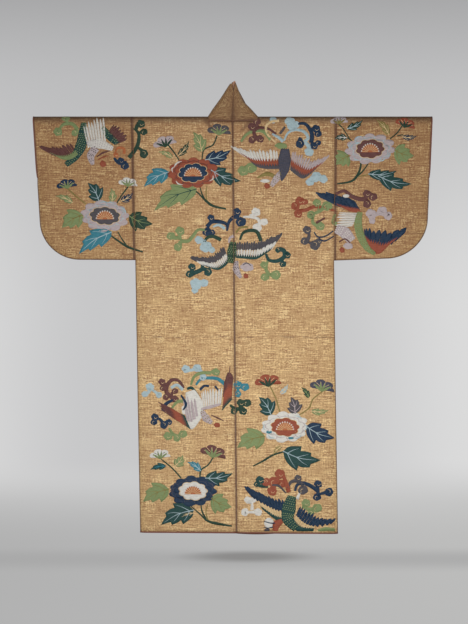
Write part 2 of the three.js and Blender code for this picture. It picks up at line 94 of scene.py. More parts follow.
def smooth(t: float) -> float:
    """Soft step from 0 to 1."""
    s = clamp(t)
    return s * s * (3 - 2 * s)


def curved(run: Sequence[Point], t: float) -> Point:
    """Place on a smooth curve through four points.

    Args:
        run: The points.
        t: Share of the way from the second to the third.

    Returns:
        The place.
    """
    x, y = (
        0.5 * (2 * b + (c - a) * t + (2 * a - 5 * b + 4 * c - d) * t * t + (3 * b - a - 3 * c + d) * t ** 3)
        for a, b, c, d in zip(*run)
    )
    return x, y


def steps(start: float, end: float, pitch: float) -> list[float]:
    """Even stations from start to end.

    Args:
        start: First station.
        end: Last station.
        pitch: Wanted distance between stations.

    Returns:
        The stations, both ends with them.
    """
    count = max(1, round(abs(end - start) / pitch))
    return [mix(start, end, k / count) for k in range(count + 1)]


def merged(*runs: Iterable[float]) -> list[float]:
    """Sorted stations of several runs, those that fall together once.

    Args:
        runs: The runs.

    Returns:
        The stations.
    """
    found: list[float] = []
    for value in sorted(v for run in runs for v in run):
        if not found or value - found[-1] > 1e-6:
            found.append(value)
    return found


class Fold(NamedTuple):
    """A soft ridge (or trough, where depth is negative) pressed or hung into the cloth; run is in degrees."""

    x: float
    z: float
    run: float
    length: float
    width: float
    depth: float


# Folds hanging in the cloth of each face
BROAD_FOLDS = {
    Face.BACK: (
        (-170, -95, 148, 150, 34, 2.2), (185, -80, 28, 135, 30, 2), (-95, -620, 86, 330, 60, 2.4),
        (150, -760, 93, 420, 70, -2.2), (-210, -1240, 88, 300, 62, -2.4), (225, -1290, 90, 270, 60, 2.6),
        (60, -1330, 94, 240, 46, 2), (-540, -250, 82, 190, 55, 2), (545, -300, 99, 170, 60, 2),
    ),
    Face.FRONT: (
        (-250, -700, 87, 380, 60, 2.2), (245, -950, 92, 400, 64, 2.4), (-520, -280, 97, 180, 55, 2.2),
        (550, -230, 84, 190, 58, 2),
    ),
}

# Creases from lying folded in a chest, drags from the neck, and slack beside the seams
FINE_FOLDS = {
    Face.BACK: (
        (10, -764, 0.6, 430, 8, 1.0), (15, -779, 0.2, 410, 9, -0.9), (-190, -398, -0.5, 190, 9, 0.6),
        (190, -1116, 0.4, 230, 9, 0.7), (229, -820, 90.5, 240, 9, 0.9), (216, -820, 90.2, 220, 9, -0.6),
        (-176, -1010, 89.4, 300, 10, 0.7), (-101, -6, 112, 34, 7, 1.1), (62, -24, 44, 60, 9, 1.3),
        (48, -42, 46, 66, 10, -0.9), (-122, -70, 128, 80, 13, 1.0), (118, -74, 50, 84, 13, 0.9),
        (-318, -300, 84, 150, 12, 0.9), (322, -260, 97, 140, 12, 0.9), (-300, -505, 38, 60, 12, -0.8),
        (318, -510, 140, 64, 12, -0.8), (-120, -1390, 93, 100, 16, 0.9), (140, -1405, 86, 90, 15, -0.8),
        (-30, -1380, 88, 110, 15, 0.8), (300, -1350, 92, 130, 18, 0.9), (-470, -400, 24, 90, 13, 0.8),
        (480, -420, 156, 92, 13, 0.8), (-610, -180, 86, 130, 14, 0.9), (622, -170, 94, 130, 14, 0.9),
        (-450, -60, 160, 90, 12, 0.8), (440, -66, 20, 92, 12, 0.8),
    ),
    Face.FRONT: (
        (-10, -770, 0.4, 420, 9, 0.9), (-6, -786, 0.6, 400, 9, -0.8), (-214, -1000, 90.4, 320, 11, 0.8),
        (220, -700, 89.4, 300, 11, 0.8), (-300, -520, 140, 62, 12, -0.8), (306, -515, 42, 60, 12, -0.8),
        (-190, -110, 60, 90, 14, 0.9), (186, -120, 118, 90, 14, 0.9), (-480, -410, 160, 90, 13, 0.8),
        (490, -400, 22, 90, 13, 0.8), (-620, -190, 93, 120, 14, 0.8), (610, -200, 87, 130, 14, 0.8),
        (40, -1380, 92, 110, 16, 0.9), (-150, -1400, 87, 90, 15, -0.8), (170, -1390, 90, 110, 16, 0.8),
    ),
}

# Height, and the place there of the body's left edge, its middle seam and its right edge
BODY_LINES = (
    (17.0, -354.5, 0.0, 364.0),
    (-500.0, -346.5, 4.5, 361.5),
    (-1000.0, -338.0, 9.5, 368.0),
    (-1468.0, -329.0, 14.2, 375.5),
)


def slant(start: Point, end: Point, first_slope: float) -> Callable[[float], float]:
    """A slanting line of the cut that leaves its start at one slope and bends to reach its end.

    Args:
        start: Across and height of its start.
        end: Across and height of its end.
        first_slope: Run for each step down at the start.

    Returns:
        The line's place across at a height.
    """
    drop = start[1] - end[1]
    first = first_slope * drop
    bend = end[0] - start[0] - first

    def line(z: float) -> float:
        """Place across at height z."""
        t = (start[1] - z) / drop
        return start[0] + first * t + bend * t * t

    return line


@dataclass(frozen=True)
class SleeveCut:
    """Cut of one sleeve, in millimetres."""

    lean: float
    radius: float
    inner_bottom: float
    outer_bottom: float
    reach: float = 708


SLEEVE_CUTS = {
    Side.LEFT: SleeveCut(0.064, 130, -494.8, -493.5),
    Side.RIGHT: SleeveCut(0.042, 140, -496.5, -489.5),
}


@dataclass(frozen=True)
class RobeForm:
    """How the robe's cloth hangs from the rod: the middle of every wall, as the part's source has it."""

    cloth: float = 1.8
    collar_cloth: float = 2.4
    lip_cloth: float = 2.6
    seam_gap: float = 0.3
    seam_drop: float = 0.45
    turn: float = 15.2
    collar_turn: float = 15.6
    low_half: float = 10.5
    narrowing: float = 320
    edge_turn: float = 40
    lap: float = 5
    lap_start: float = 60
    lap_inset: float = 10
    lap_ease: float = 55
    pucker_end: float = 40
    gather: float = 0.2
    gather_fall: float = 9
    groove: float = 0.9
    groove_width: float = 2.6
    panel: float = 355
    neck_half: float = 87
    hem: float = -1463.5
    hem_slope: float = -0.0063
    hem_ease: float = 68.5
    front_drop: float = 6
    drop_start: float = -40
    drop_run: float = 210
    closed_inset: float = 1.2
    okumi: float = 158
    seam_end: float = -844
    cuff_bottom: float = -205
    edge_swell: float = 2.6
    sleeve_top: float = 16
    top_height: float = 145
    back_top_y: float = -4.5
    front_top_y: float = 2
    rod_level: float = 40

    @property
    def over(self) -> float:
        """Length of the cloth's turn over the rod."""
        return math.pi * self.turn

    def level(self, v: float) -> tuple[float, Face]:
        """Height and face of a place along a strip that runs up the back, over the rod and down the front."""
        return (v, Face.BACK) if v <= 0 else (self.over - v, Face.FRONT)

    def across(self, p: float, z: float) -> float:
        """Place on the hanging body of a distance across the cut panel.

        Args:
            p: Distance from the middle seam, negative to the left.
            z: Height.

        Returns:
            The x of the place.
        """
        rows = BODY_LINES
        for upper, lower in zip(rows, rows[1:]):
            if z >= lower[0] or lower is rows[-1]:
                t = clamp((upper[0] - z) / (upper[0] - lower[0]))
                middle = mix(upper[2], lower[2], t)
                side = 1 if p < 0 else 3
                return mix(middle, mix(upper[side], lower[side], t), abs(p) / self.panel)
        return p

    def panel_place(self, x: float, z: float) -> float:
        """Distance across the cut panel of a place on the hanging body, the reverse of across.

        Args:
            x: Place across the hanging robe.
            z: Height.

        Returns:
            The distance.
        """
        middle = self.across(0, z)
        edge = self.across(self.panel * (-1 if x < middle else 1), z)
        return (x - middle) / abs(edge - middle) * self.panel

    def half_depth(self, z: float) -> float:
        """Half depth of the hollow between back and fronts, away from closed edges."""
        return mix(self.low_half, self.turn, math.exp(min(0.0, z) / self.narrowing))

    def edge_share(self, distance: float) -> float:
        """Share of the half depth left at a distance from a closed edge."""
        t = clamp(distance / self.edge_turn)
        return math.sqrt(1 - (1 - t) ** 2)

    def push(self, x: float, z: float, face: Face) -> float:
        """Outward push of all folds at a place on one face.

        Args:
            x: Place across the hanging robe.
            z: Height.
            face: Face of the robe.

        Returns:
            The push.
        """
        total = 0.0
        for fold, c, s in FOLD_TABLE[face]:
            dx, dz = x - fold.x, z - fold.z
            if max(abs(dx), abs(dz)) > FOLD_END * fold.length:
                continue
            along = (dx * c + dz * s) / fold.length
            beside = (dz * c - dx * s) / fold.width
            reach = along * along + beside * beside
            if reach < FOLD_END**2:
                total += fold.depth * math.exp(-reach)
        return total * smooth(-z / self.lap_start)

    def pucker(self, distance: float, z: float, phase: float) -> float:
        """Fine gather of the cloth beside a seam, with the seam's own groove.

        Args:
            distance: Distance from the seam.
            z: Height.
            phase: Shift of the gather along the seam.

        Returns:
            Push of the cloth, negative in the groove.
        """
        if distance > self.pucker_end:
            return 0.0
        wave = math.sin(z / 3.4 + phase) + 0.6 * math.sin(z / 7.7 + 2.1 * phase)
        groove = self.groove * math.exp(-((distance / self.groove_width) ** 2))
        return self.gather * wave * math.exp(-distance / self.gather_fall) - groove

    def side_distance(self, p: float, z: float, side: Side) -> float:
        """Distance from a place on the body to the closed side seam below the sleeve.

        Args:
            p: Distance across the cut panel.
            z: Height.
            side: Half of the robe.

        Returns:
            The distance.
        """
        beside = max(0.0, self.panel - side * p)
        above = z - SLEEVE_CUTS[side].inner_bottom
        return math.hypot(beside, above) if above > 0 else beside

    def lap_step(self, p: float, z: float, side: Side) -> float:
        """Outward step of the left front, which lies over the right front.

        Args:
            p: Distance across the cut panel.
            z: Height.
            side: Half of the robe.

        Returns:
            The step.
        """
        if side == Side.RIGHT:
            return 0.0
        from_side = smooth((p + self.panel - self.lap_inset) / self.lap_ease)
        from_neck = -z if p < -self.neck_half else math.hypot(p + self.neck_half, z)
        return self.lap * from_side * smooth(from_neck / self.lap_start)

    def body_y(self, p: float, z: float, side: Side, face: Face) -> float:
        """Y of a body sheet's middle at a place below the rod.

        Args:
            p: Distance across the cut panel.
            z: Height.
            side: Half of the robe.
            face: Face of the robe.

        Returns:
            The Y.
        """
        x = self.across(p, z)
        reach = abs(p)
        crease = self.pucker(abs(self.panel - reach), z, 1.3 * side)
        if face == Face.BACK or reach > self.neck_half:
            crease += self.pucker(reach, z, 0.7 * side)
        push = self.half_depth(z) + self.push(x, z, face) + crease * smooth(-z / 20)
        lap = self.lap_step(p, z, side) if face == Face.FRONT else 0.0
        return face * (push * self.edge_share(self.side_distance(p, z, side)) + lap)

    def hem_height(self, p: float, face: Face) -> float:
        """Height of the hem at a distance across the panel.

        Args:
            p: Distance across the cut panel.
            face: Face of the robe.

        Returns:
            The height.
        """
        run = clamp((p - self.drop_start) / self.drop_run)
        drop = self.front_drop * math.sin(math.pi * run) if face == Face.FRONT else 0.0
        return self.hem + self.hem_slope * p - drop

    def to_hem(self, p: float, z: float, face: Face) -> float:
        """Height of a level row once its lowest part is drawn to the hem's own line."""
        return z + (self.hem_height(p, face) - self.hem) * smooth((self.hem + self.hem_ease - z) / self.hem_ease)

    def seam_line(self, z: float) -> float:
        """Distance across the left panel of the collar seam at a height."""
        return slant((-self.neck_half, 0), (self.okumi, self.seam_end), 0.395)(z)

    def seam_height(self, p: float) -> float:
        """Height at which the collar seam crosses a distance across the left panel.

        Args:
            p: Distance across the cut panel.

        Returns:
            The height.
        """
        high, low = 0.0, self.seam_end
        for _ in range(34):
            z = (high + low) / 2
            if self.seam_line(z) < p:
                high = z
            else:
                low = z
        return (high + low) / 2

    def seam_across(self, z: float, side: Side) -> Point:
        """Unit direction across the collar seam, in x and z.

        Args:
            z: Height.
            side: Half of the robe.

        Returns:
            The direction.
        """
        run = self.across(-side * self.seam_line(z + 1), z + 1)
        run -= self.across(-side * self.seam_line(z - 1), z - 1)
        size = math.hypot(2, run)
        return 2 / size, -run / size

    def front_y(self, p: float, z: float, side: Side) -> float:
        """Y of the fronts' middle, and above the rod's axis of the collar's bands.

        Args:
            p: Distance across the cut panel.
            z: Height.
            side: Half of the robe.

        Returns:
            The Y.
        """
        if z <= 0:
            return self.body_y(p, z, side, Face.FRONT)
        rise = clamp((z - self.rod_level) / (self.top_height - self.rod_level))
        return mix(self.turn, self.front_top_y, rise) + self.lap_step(p, z, side)

    def collar_back_y(self, z: float) -> float:
        """Y of the collar where it stands behind the neck."""
        return mix(-self.collar_turn, self.back_top_y, z / self.top_height)

    def sleeve_outer(self, side: Side, z: float) -> float:
        """X of the sleeve's outer edge at a height."""
        cut = SLEEVE_CUTS[side]
        return side * (cut.reach - cut.lean * (self.sleeve_top - z))

    def corner_bottom(self, side: Side, inset: float) -> float:
        """Height of the sleeve's lower edge at a distance in from its outer edge.

        Args:
            side: Half of the robe.
            inset: Distance in from the outer edge of the cut.

        Returns:
            The height.
        """
        cut = SLEEVE_CUTS[side]
        if inset < cut.radius:
            run = cut.radius - inset
            return cut.outer_bottom + cut.radius - math.sqrt(cut.radius**2 - run * run)
        t = (inset - cut.radius) / (cut.reach - cut.radius - self.panel)
        return mix(cut.outer_bottom, cut.inner_bottom, clamp(t))

    def sleeve_x(self, side: Side, inset: float, z: float) -> float:
        """X of a sleeve column, by its distance in from the outer edge of the cut.

        Args:
            side: Half of the robe.
            inset: Distance in from the outer edge of the cut.
            z: Height.

        Returns:
            The X.
        """
        cut = SLEEVE_CUTS[side]
        if inset <= cut.radius:
            swell = self.edge_swell * smooth((self.cuff_bottom + 30 - z) / 60) * (1 - inset / cut.radius)
            return self.sleeve_outer(side, z) - side * (inset - swell)
        t = (inset - cut.radius) / (cut.reach - cut.radius - self.panel)
        inner = self.across(side * self.panel, z) + side * self.seam_gap
        return mix(self.sleeve_outer(side, z) - side * cut.radius, inner, t)

    def sleeve_distance(self, side: Side, inset: float, z: float) -> float:
        """Distance from a place on the sleeve to its closed edge.

        Args:
            side: Half of the robe.
            inset: Distance in from the outer edge of the cut.
            z: Height.

        Returns:
            The distance.
        """
        cut = SLEEVE_CUTS[side]
        low = min(self.corner_bottom(side, inset), cut.inner_bottom + 8)
        corner_top = cut.outer_bottom + cut.radius
        if inset < cut.radius and z < corner_top:
            return max(0.0, cut.radius - math.hypot(cut.radius - inset, corner_top - z))
        outer = inset if z <= self.cuff_bottom else math.hypot(inset, z - self.cuff_bottom)
        return min(max(0.0, z - low), outer)

    def sleeve_y(self, side: Side, inset: float, z: float, face: Face) -> float:
        """Y of a sleeve sheet's middle at a place below the rod.

        Args:
            side: Half of the robe.
            inset: Distance in from the outer edge of the cut.
            z: Height.
            face: Face of the robe.

        Returns:
            The Y.
        """
        x = self.sleeve_x(side, inset, z)
        seam = SLEEVE_CUTS[side].reach - self.panel - inset
        crease = self.pucker(seam, z, 1.3 * side) * smooth(-z / 20)
        push = self.half_depth(z) + self.push(x, z, face) + crease
        return face * push * self.edge_share(self.sleeve_distance(side, inset, z))

    def over_rod(self, x: float, v: float) -> Vector:
        """Place on the turn over the rod, by the distance v along it from the back."""
        angle = v / self.turn - math.pi / 2
        return Vector((x, self.turn * math.sin(angle), self.turn * math.cos(angle)))


def fold_table(face: Face) -> list[tuple[Fold, float, float]]:
    """Folds of a face with the direction in which they run.

    Args:
        face: Face of the robe.

    Returns:
        Each fold with the cosine and sine of its run.
    """
    folds = [Fold(*numbers) for numbers in BROAD_FOLDS[face] + FINE_FOLDS[face]]
    return [(fold, math.cos(math.radians(fold.run)), math.sin(math.radians(fold.run))) for fold in folds]


# A fold's push is left out beyond this many of its lengths
FOLD_END = 3
FOLD_TABLE = {face: fold_table(face) for face in Face}
FORM = RobeForm()

# Stations near an edge or seam, and the spacing of the cloth's grid away from them
EDGE_STATIONS = (0, 0.7, 2, 4.2, 7.5, 12, 18, 26, 36)
SEAM_STATIONS = EDGE_STATIONS[:-1]
# Distance in metres that stands for no seam or edge near
NONE_NEAR = 1.0
GRID = 9.5


class Laid(NamedTuple):
    """A corner of the cloth: its place, its place along the weave, and its distances to seam and edge."""

    place: Vector
    weave: Point
    rim: Point


class Cloth:
    """One piece of cloth, gathered from grids that are laid on the form and joined."""

    def __init__(self, name: str) -> None:
        """Starts an empty piece with its weave and rim maps.

        Args:
            name: Name of the piece.
        """
        self.name = name
        self.mesh = bmesh.new()
        self.weave = self.mesh.loops.layers.uv.new("Weave")
        self.rim = self.mesh.loops.layers.uv.new("Rim")

    def lay(
        self,
        columns: Sequence[float],
        rows: Sequence[float],
        place: Callable[[float, float], Laid],
    ) -> None:
        """Lays a grid of cloth.

        Args:
            columns: Stations across.
            rows: Stations along.
            place: Gives the corner at a column and a row.
        """
        wide, long = len(columns) - 1, len(rows) - 1
        made = bmesh.ops.create_grid(self.mesh, x_segments=wide, y_segments=long, size=0.5)
        corners = {}
        for vert in made["verts"]:
            column = columns[round((vert.co.x + 0.5) * wide)]
            row = rows[round((vert.co.y + 0.5) * long)]
            corners[vert] = place(column, row)
        for face in {face for vert in made["verts"] for face in vert.link_faces}:
            for loop in face.loops:
                loop[self.weave].uv = corners[loop.vert].weave
                loop[self.rim].uv = corners[loop.vert].rim
        for vert, laid in corners.items():
            vert.co = laid.place * MM

    def sew(
        self,
        outer: bpy.types.Material,
        inner: bpy.types.Material,
        wall: float,
        outward: Vector,
        near: Vector,
    ) -> bpy.types.Object:
        """Joins the grids and gives the cloth its wall.

        Args:
            outer: Finish of the outer face.
            inner: Finish of the inner face and the raw edge.
            wall: Thickness in millimetres.
            outward: Direction in which the outer face looks at the place near.
            near: A place on the piece, in metres.

        Returns:
            The finished piece.
        """
        mesh = self.mesh
        bmesh.ops.remove_doubles(mesh, verts=mesh.verts[:], dist=2e-5)
        bmesh.ops.dissolve_degenerate(mesh, edges=mesh.edges[:], dist=1e-6)
        bmesh.ops.recalc_face_normals(mesh, faces=mesh.faces[:])
        mesh.normal_update()
        closest = min(mesh.faces, key=lambda face: (face.calc_center_median() - near).length)
        if closest.normal.dot(outward) < 0:
            bmesh.ops.reverse_faces(mesh, faces=mesh.faces[:])
        for face in mesh.faces:
            face.smooth = True
        piece = finished(self.name, mesh, [outer, inner])
        shell = piece.modifiers.new("wall", "SOLIDIFY")
        shell.thickness = wall * MM
        shell.offset = 0
        shell.material_offset = 1
        shell.material_offset_rim = 1
        return piece


def finished(
    name: str, mesh: bmesh.types.BMesh, materials: Sequence[bpy.types.Material]
) -> bpy.types.Object:
    """Turns a bmesh into a linked object.

    Args:
        name: Name of the piece.
        mesh: The bmesh, which is freed.
        materials: Its finishes, by index.

    Returns:
        The object, at the origin.
    """
    data = bpy.data.meshes.new(name)
    mesh.to_mesh(data)
    mesh.free()
    for material in materials:
        data.materials.append(material)
    piece = bpy.data.objects.new(name, data)
    bpy.context.scene.collection.objects.link(piece)
    return piece


Colour = tuple[float, float, float, float]


def toned(colour: Colour, share: float, lift: float = 0) -> Colour:
    """Colour made darker or lighter by a share, and lifted."""
    return (*[min(1.0, c * share + lift) for c in colour[:3]], 1.0)


def linear(colour: tuple[int, int, int]) -> Colour:
    """Scene colour of an 8-bit one."""
    parts = [c / 255 for c in colour]
    return (*[c / 12.92 if c <= 0.04045 else ((c + 0.055) / 1.055) ** 2.4 for c in parts], 1.0)


class Nodes:
    """Builds the nodes of one material or group by short calls."""

    def __init__(self, tree: bpy.types.NodeTree) -> None:
        """Keeps the tree that nodes are added to."""
        self.tree = tree

    def add(self, kind: str, inputs: dict[object, object] | None = None, **settings: object) -> bpy.types.Node:
        """Adds a node.

        Args:
            kind: Node type without its ShaderNode prefix.
            inputs: Values or sockets for its inputs, by name or number.
            settings: Attributes of the node.

        Returns:
            The new node.
        """
        node = self.tree.nodes.new(kind if kind.startswith("Node") else "ShaderNode" + kind)
        for key, value in settings.items():
            setattr(node, key, value)
        self.feed(node, inputs or {})
        return node

    def feed(self, node: bpy.types.Node, inputs: dict[object, object]) -> None:
        """Gives a node's inputs their values or sockets.

        Args:
            node: The node.
            inputs: Values or sockets, by the input's name or number.
        """
        for key, value in inputs.items():
            if isinstance(value, bpy.types.NodeSocket):
                self.tree.links.new(value, node.inputs[key])
            else:
                node.inputs[key].default_value = value

    def math(self, operation: str, *values: object) -> bpy.types.NodeSocket:
        """Result of a Math node on values or sockets."""
        return self.add("Math", dict(enumerate(values)), operation=operation).outputs[0]

    def ramp(self, value: object, low: float, high: float) -> bpy.types.NodeSocket:
        """Soft 0 to 1 step of a value between low and high."""
        node = self.add("MapRange", {0: value, 1: low, 2: high}, interpolation_type="SMOOTHSTEP")
        return node.outputs[0]

    def blend(self, share: object, first: object, second: object) -> bpy.types.NodeSocket:
        """Colour a share of the way from first to second."""
        return self.add("Mix", {0: share, 6: first, 7: second}, data_type="RGBA").outputs[2]

    def noise(
        self, vector: object, stretch: tuple[float, float, float], detail: float = 2, rough: float = 0.5
    ) -> bpy.types.NodeSocket:
        """Noise stretched by a scale along each axis.

        Args:
            vector: Place socket.
            stretch: Scale along each axis.
            detail: Octaves.
            rough: Roughness of the octaves.

        Returns:
            The noise.
        """
        mapped = self.add("Mapping", {"Vector": vector, "Scale": stretch})
        inputs = {"Vector": mapped.outputs[0], "Scale": 1.0, "Detail": detail, "Roughness": rough}
        return self.add("TexNoise", inputs).outputs[0]

    def map(self, name: str) -> bpy.types.NodeSocket:
        """Places of a named UV map."""
        return self.add("UVMap", uv_map=name).outputs[0]

    def place(self, group: bpy.types.NodeTree, inputs: dict[object, object]) -> bpy.types.Node:
        """Places a shared group with its own values."""
        return self.add("Group", inputs, node_tree=group)


class Kind(Enum):
    """Socket types of the shared groups."""

    NUMBER = "NodeSocketFloat"
    VECTOR = "NodeSocketVector"


def new_group(
    name: str, inputs: dict[str, Kind], outputs: dict[str, Kind]
) -> tuple[Nodes, bpy.types.Node, bpy.types.Node]:
    """Starts a shared node group.

    Args:
        name: Name of the effect.
        inputs: Its inputs.
        outputs: Its outputs.

    Returns:
        Its nodes, and its input and output node.
    """
    tree = bpy.data.node_groups.new(name, "ShaderNodeTree")
    for way, sockets in (("INPUT", inputs), ("OUTPUT", outputs)):
        for word, kind in sockets.items():
            tree.interface.new_socket(word, in_out=way, socket_type=kind.value)
    nodes = Nodes(tree)
    return nodes, nodes.add("NodeGroupInput"), nodes.add("NodeGroupOutput")


# Heights of the creases from lying folded, and start and end of the short creases beside the neck, in metres; painted
# shade darkens the cloth along each
CREASE_HEIGHTS = (-0.766, -0.398, -1.112)
NECK_CREASES = (
    ((0.074, 0.006), (0.016, -0.05)),
    ((-0.1, 0.006), (-0.066, -0.04)),
    ((0.064, -0.028), (0.022, -0.09)),
)


class Effects:
    """Effects that several finishes share, each built once."""

    def __init__(self) -> None:
        """Builds the shared groups."""
        self.weave = self.build_weave()
        self.seams = self.build_seams()
        self.age = self.build_age()

    def build_weave(self) -> bpy.types.NodeTree:
        """Weave of weft and warp threads: height, thread tone, and uneven picks that cross uneven ends.

        Returns:
            The group.
        """
        outputs = {"Height": Kind.NUMBER, "Thread": Kind.NUMBER, "Cross": Kind.NUMBER}
        inputs = {"Vector": Kind.VECTOR, "Weft Pitch": Kind.NUMBER, "Warp Pitch": Kind.NUMBER}
        nodes, given, out = new_group("weave", inputs, outputs)
        parts = nodes.add("SeparateXYZ", {0: given.outputs["Vector"]})
        wander = nodes.noise(given.outputs["Vector"], (26, 60, 1), 1)
        turn = 2 * math.pi
        weft = nodes.math("DIVIDE", parts.outputs[1], given.outputs["Weft Pitch"])
        weft = nodes.math("ADD", weft, nodes.math("MULTIPLY", wander, 1.6))
        weft_wave = nodes.math("SINE", nodes.math("MULTIPLY", weft, turn))
        warp = nodes.math("DIVIDE", parts.outputs[0], given.outputs["Warp Pitch"])
        half = nodes.math("MULTIPLY", nodes.math("FLOOR", weft), 0.5)
        warp_wave = nodes.math("SINE", nodes.math("MULTIPLY", nodes.math("ADD", warp, half), turn))
        height = nodes.math("MULTIPLY_ADD", warp_wave, 0.22, nodes.math("MULTIPLY", weft_wave, 0.5))
        height = nodes.math("ADD", height, 0.5)
        thread = nodes.noise(given.outputs["Vector"], (90, 300, 1), 3, 0.65)
        picks = nodes.noise(given.outputs["Vector"], (20, 290, 1), 2, 0.6)
        ends = nodes.noise(given.outputs["Vector"], (290, 20, 1), 2, 0.6)
        knots = nodes.noise(given.outputs["Vector"], (150, 200, 1), 1)
        cross = nodes.math("MULTIPLY_ADD", knots, 0.3, nodes.math("MULTIPLY", picks, 0.46))
        cross = nodes.math("MULTIPLY_ADD", ends, 0.24, cross)
        nodes.feed(out, {"Height": height, "Thread": thread, "Cross": cross})
        return nodes.tree

    def build_seams(self) -> bpy.types.NodeTree:
        """Stitched seams and painted shade at the closed rims, from the piece's rim map: seam line, painted soft shade
        beside it and painted shade at the rim.

        Returns:
            The group.
        """
        inputs = {"Rim": Kind.VECTOR, "Ply": Kind.NUMBER}
        outputs = {"Seam": Kind.NUMBER, "Shade": Kind.NUMBER, "Edge": Kind.NUMBER}
        nodes, given, out = new_group("seams", inputs, outputs)
        parts = nodes.add("SeparateXYZ", {0: given.outputs["Rim"]})
        away = nodes.math("ABSOLUTE", nodes.math("SUBTRACT", parts.outputs[0], given.outputs["Ply"]))
        line = nodes.math("SUBTRACT", 1.0, nodes.ramp(away, 0.0016, 0.0058))
        shade = nodes.math("SUBTRACT", 1.0, nodes.ramp(parts.outputs[0], 0.002, 0.019))
        # Painted shade where the cloth turns at a closed rim
        edge = nodes.math("SUBTRACT", 1.0, nodes.ramp(parts.outputs[1], 0.0020, 0.0056))
        nodes.feed(out, {"Seam": line, "Shade": shade, "Edge": edge})
        return nodes.tree

    def stroke(self, nodes: Nodes, place: bpy.types.Node, start: Point, end: Point) -> bpy.types.NodeSocket:
        """Mask of the painted shade in a short slanting crease on the robe's back.

        Args:
            nodes: Nodes that it is added to.
            place: The place, split into its axes.
            start: Its start, in x and z.
            end: Its end.

        Returns:
            The mask.
        """
        length = math.dist(start, end)
        ux, uz = (end[0] - start[0]) / length, (end[1] - start[1]) / length
        dx = nodes.math("SUBTRACT", place.outputs[0], start[0])
        dz = nodes.math("SUBTRACT", place.outputs[2], start[1])
        run = nodes.math("MULTIPLY_ADD", dz, uz, nodes.math("MULTIPLY", dx, ux))
        off = nodes.math("ABSOLUTE", nodes.math("MULTIPLY_ADD", dz, ux, nodes.math("MULTIPLY", dx, -uz)))
        beside = nodes.math("SUBTRACT", 1.0, nodes.ramp(off, 0.002, 0.011))
        inside = nodes.math("MULTIPLY", nodes.ramp(run, -0.004, 0.006), nodes.ramp(run, length, length * 0.5))
        back = nodes.math("LESS_THAN", place.outputs[1], 0.0)
        return nodes.math("MULTIPLY", nodes.math("MULTIPLY", beside, inside), back)

    def build_age(self) -> bpy.types.NodeTree:
        """Age of the cloth with painted light: broad unevenness and flecks where the gilt wore off, painted glints,
        and painted shade in the chest and neck creases, on the roll over the rod and on the upper robe.

        Returns:
            The group.
        """
        inputs = {"Vector": Kind.VECTOR, "Place": Kind.VECTOR, "Cross": Kind.NUMBER}
        outputs = {name: Kind.NUMBER for name in ("Tone", "Fleck", "Glint", "Crease", "Roll", "Upper")}
        nodes, given, out = new_group("age", inputs, outputs)
        vector = given.outputs["Vector"]
        tone = nodes.ramp(nodes.noise(vector, (9, 12, 1), 3), 0.36, 0.66)
        spread = nodes.math("MULTIPLY_ADD", nodes.noise(vector, (24, 18, 1), 3, 0.6), 0.24, -0.12)
        cross = given.outputs["Cross"]
        fleck = nodes.ramp(nodes.math("ADD", cross, spread), 0.47, 0.42)
        glint = nodes.ramp(nodes.math("SUBTRACT", cross, spread), 0.535, 0.60)
        place = nodes.add("SeparateXYZ", {0: given.outputs["Place"]})
        waver = nodes.noise(given.outputs["Place"], (9, 9, 9), 2)
        line = nodes.math("MULTIPLY_ADD", waver, 0.008, place.outputs[2])
        crease: bpy.types.NodeSocket | None = None
        for height in CREASE_HEIGHTS:
            away = nodes.math("ABSOLUTE", nodes.math("SUBTRACT", line, height))
            mark = nodes.math("SUBTRACT", 1.0, nodes.ramp(away, 0.0006, 0.005))
            crease = mark if crease is None else nodes.math("MAXIMUM", crease, nodes.math("MULTIPLY", mark, 0.5))
        # Noise breaks up the painted shade of the chest creases along their length
        worn = nodes.ramp(nodes.noise(given.outputs["Place"], (30, 40, 120), 3), 0.42, 0.58)
        crease = nodes.math("MULTIPLY", crease, worn)
        for start, end in NECK_CREASES:
            crease = nodes.math("MAXIMUM", crease, self.stroke(nodes, place, start, end))
        # Painted shade on the roll of cloth over the rod, darkest at its top
        roll = nodes.ramp(place.outputs[2], -0.022, 0.013)
        # Painted shade that darkens the robe more towards its top
        upper = nodes.ramp(place.outputs[2], -0.85, 0.0)
        found = {"Tone": tone, "Fleck": fleck, "Glint": glint, "Crease": crease, "Roll": roll, "Upper": upper}
        nodes.feed(out, found)
        return nodes.tree


def empty_material(name: str) -> tuple[Nodes, bpy.types.Material]:
    """Starts a material without nodes.

    Args:
        name: Name of the finish.

    Returns:
        Its nodes and the material.
    """
    material = bpy.data.materials.new(name)
    material.use_nodes = True
    material.node_tree.nodes.clear()
    return Nodes(material.node_tree), material


def surface(name: str) -> tuple[Nodes, bpy.types.Node, bpy.types.Material]:
    """Starts a material with its shader.

    Args:
        name: Name of the finish.

    Returns:
        Its nodes, its Principled shader and the material.
    """
    nodes, material = empty_material(name)
    shader = nodes.add("BsdfPrincipled")
    nodes.add("OutputMaterial", {"Surface": shader.outputs[0]})
    return nodes, shader, material


# Gilt weft, its lightest and its darkest, the warp where the gilt wore off, and painted glints of the gilt
GROUND_COLOURS = ((200, 164, 114), (220, 186, 130), (160, 120, 76), (126, 76, 42), (250, 224, 164))
# How strongly a ground's tone darkens its red, green and blue; a tone below one is painted shade
TONE_POWERS = (0.9, 1.2, 1.6)


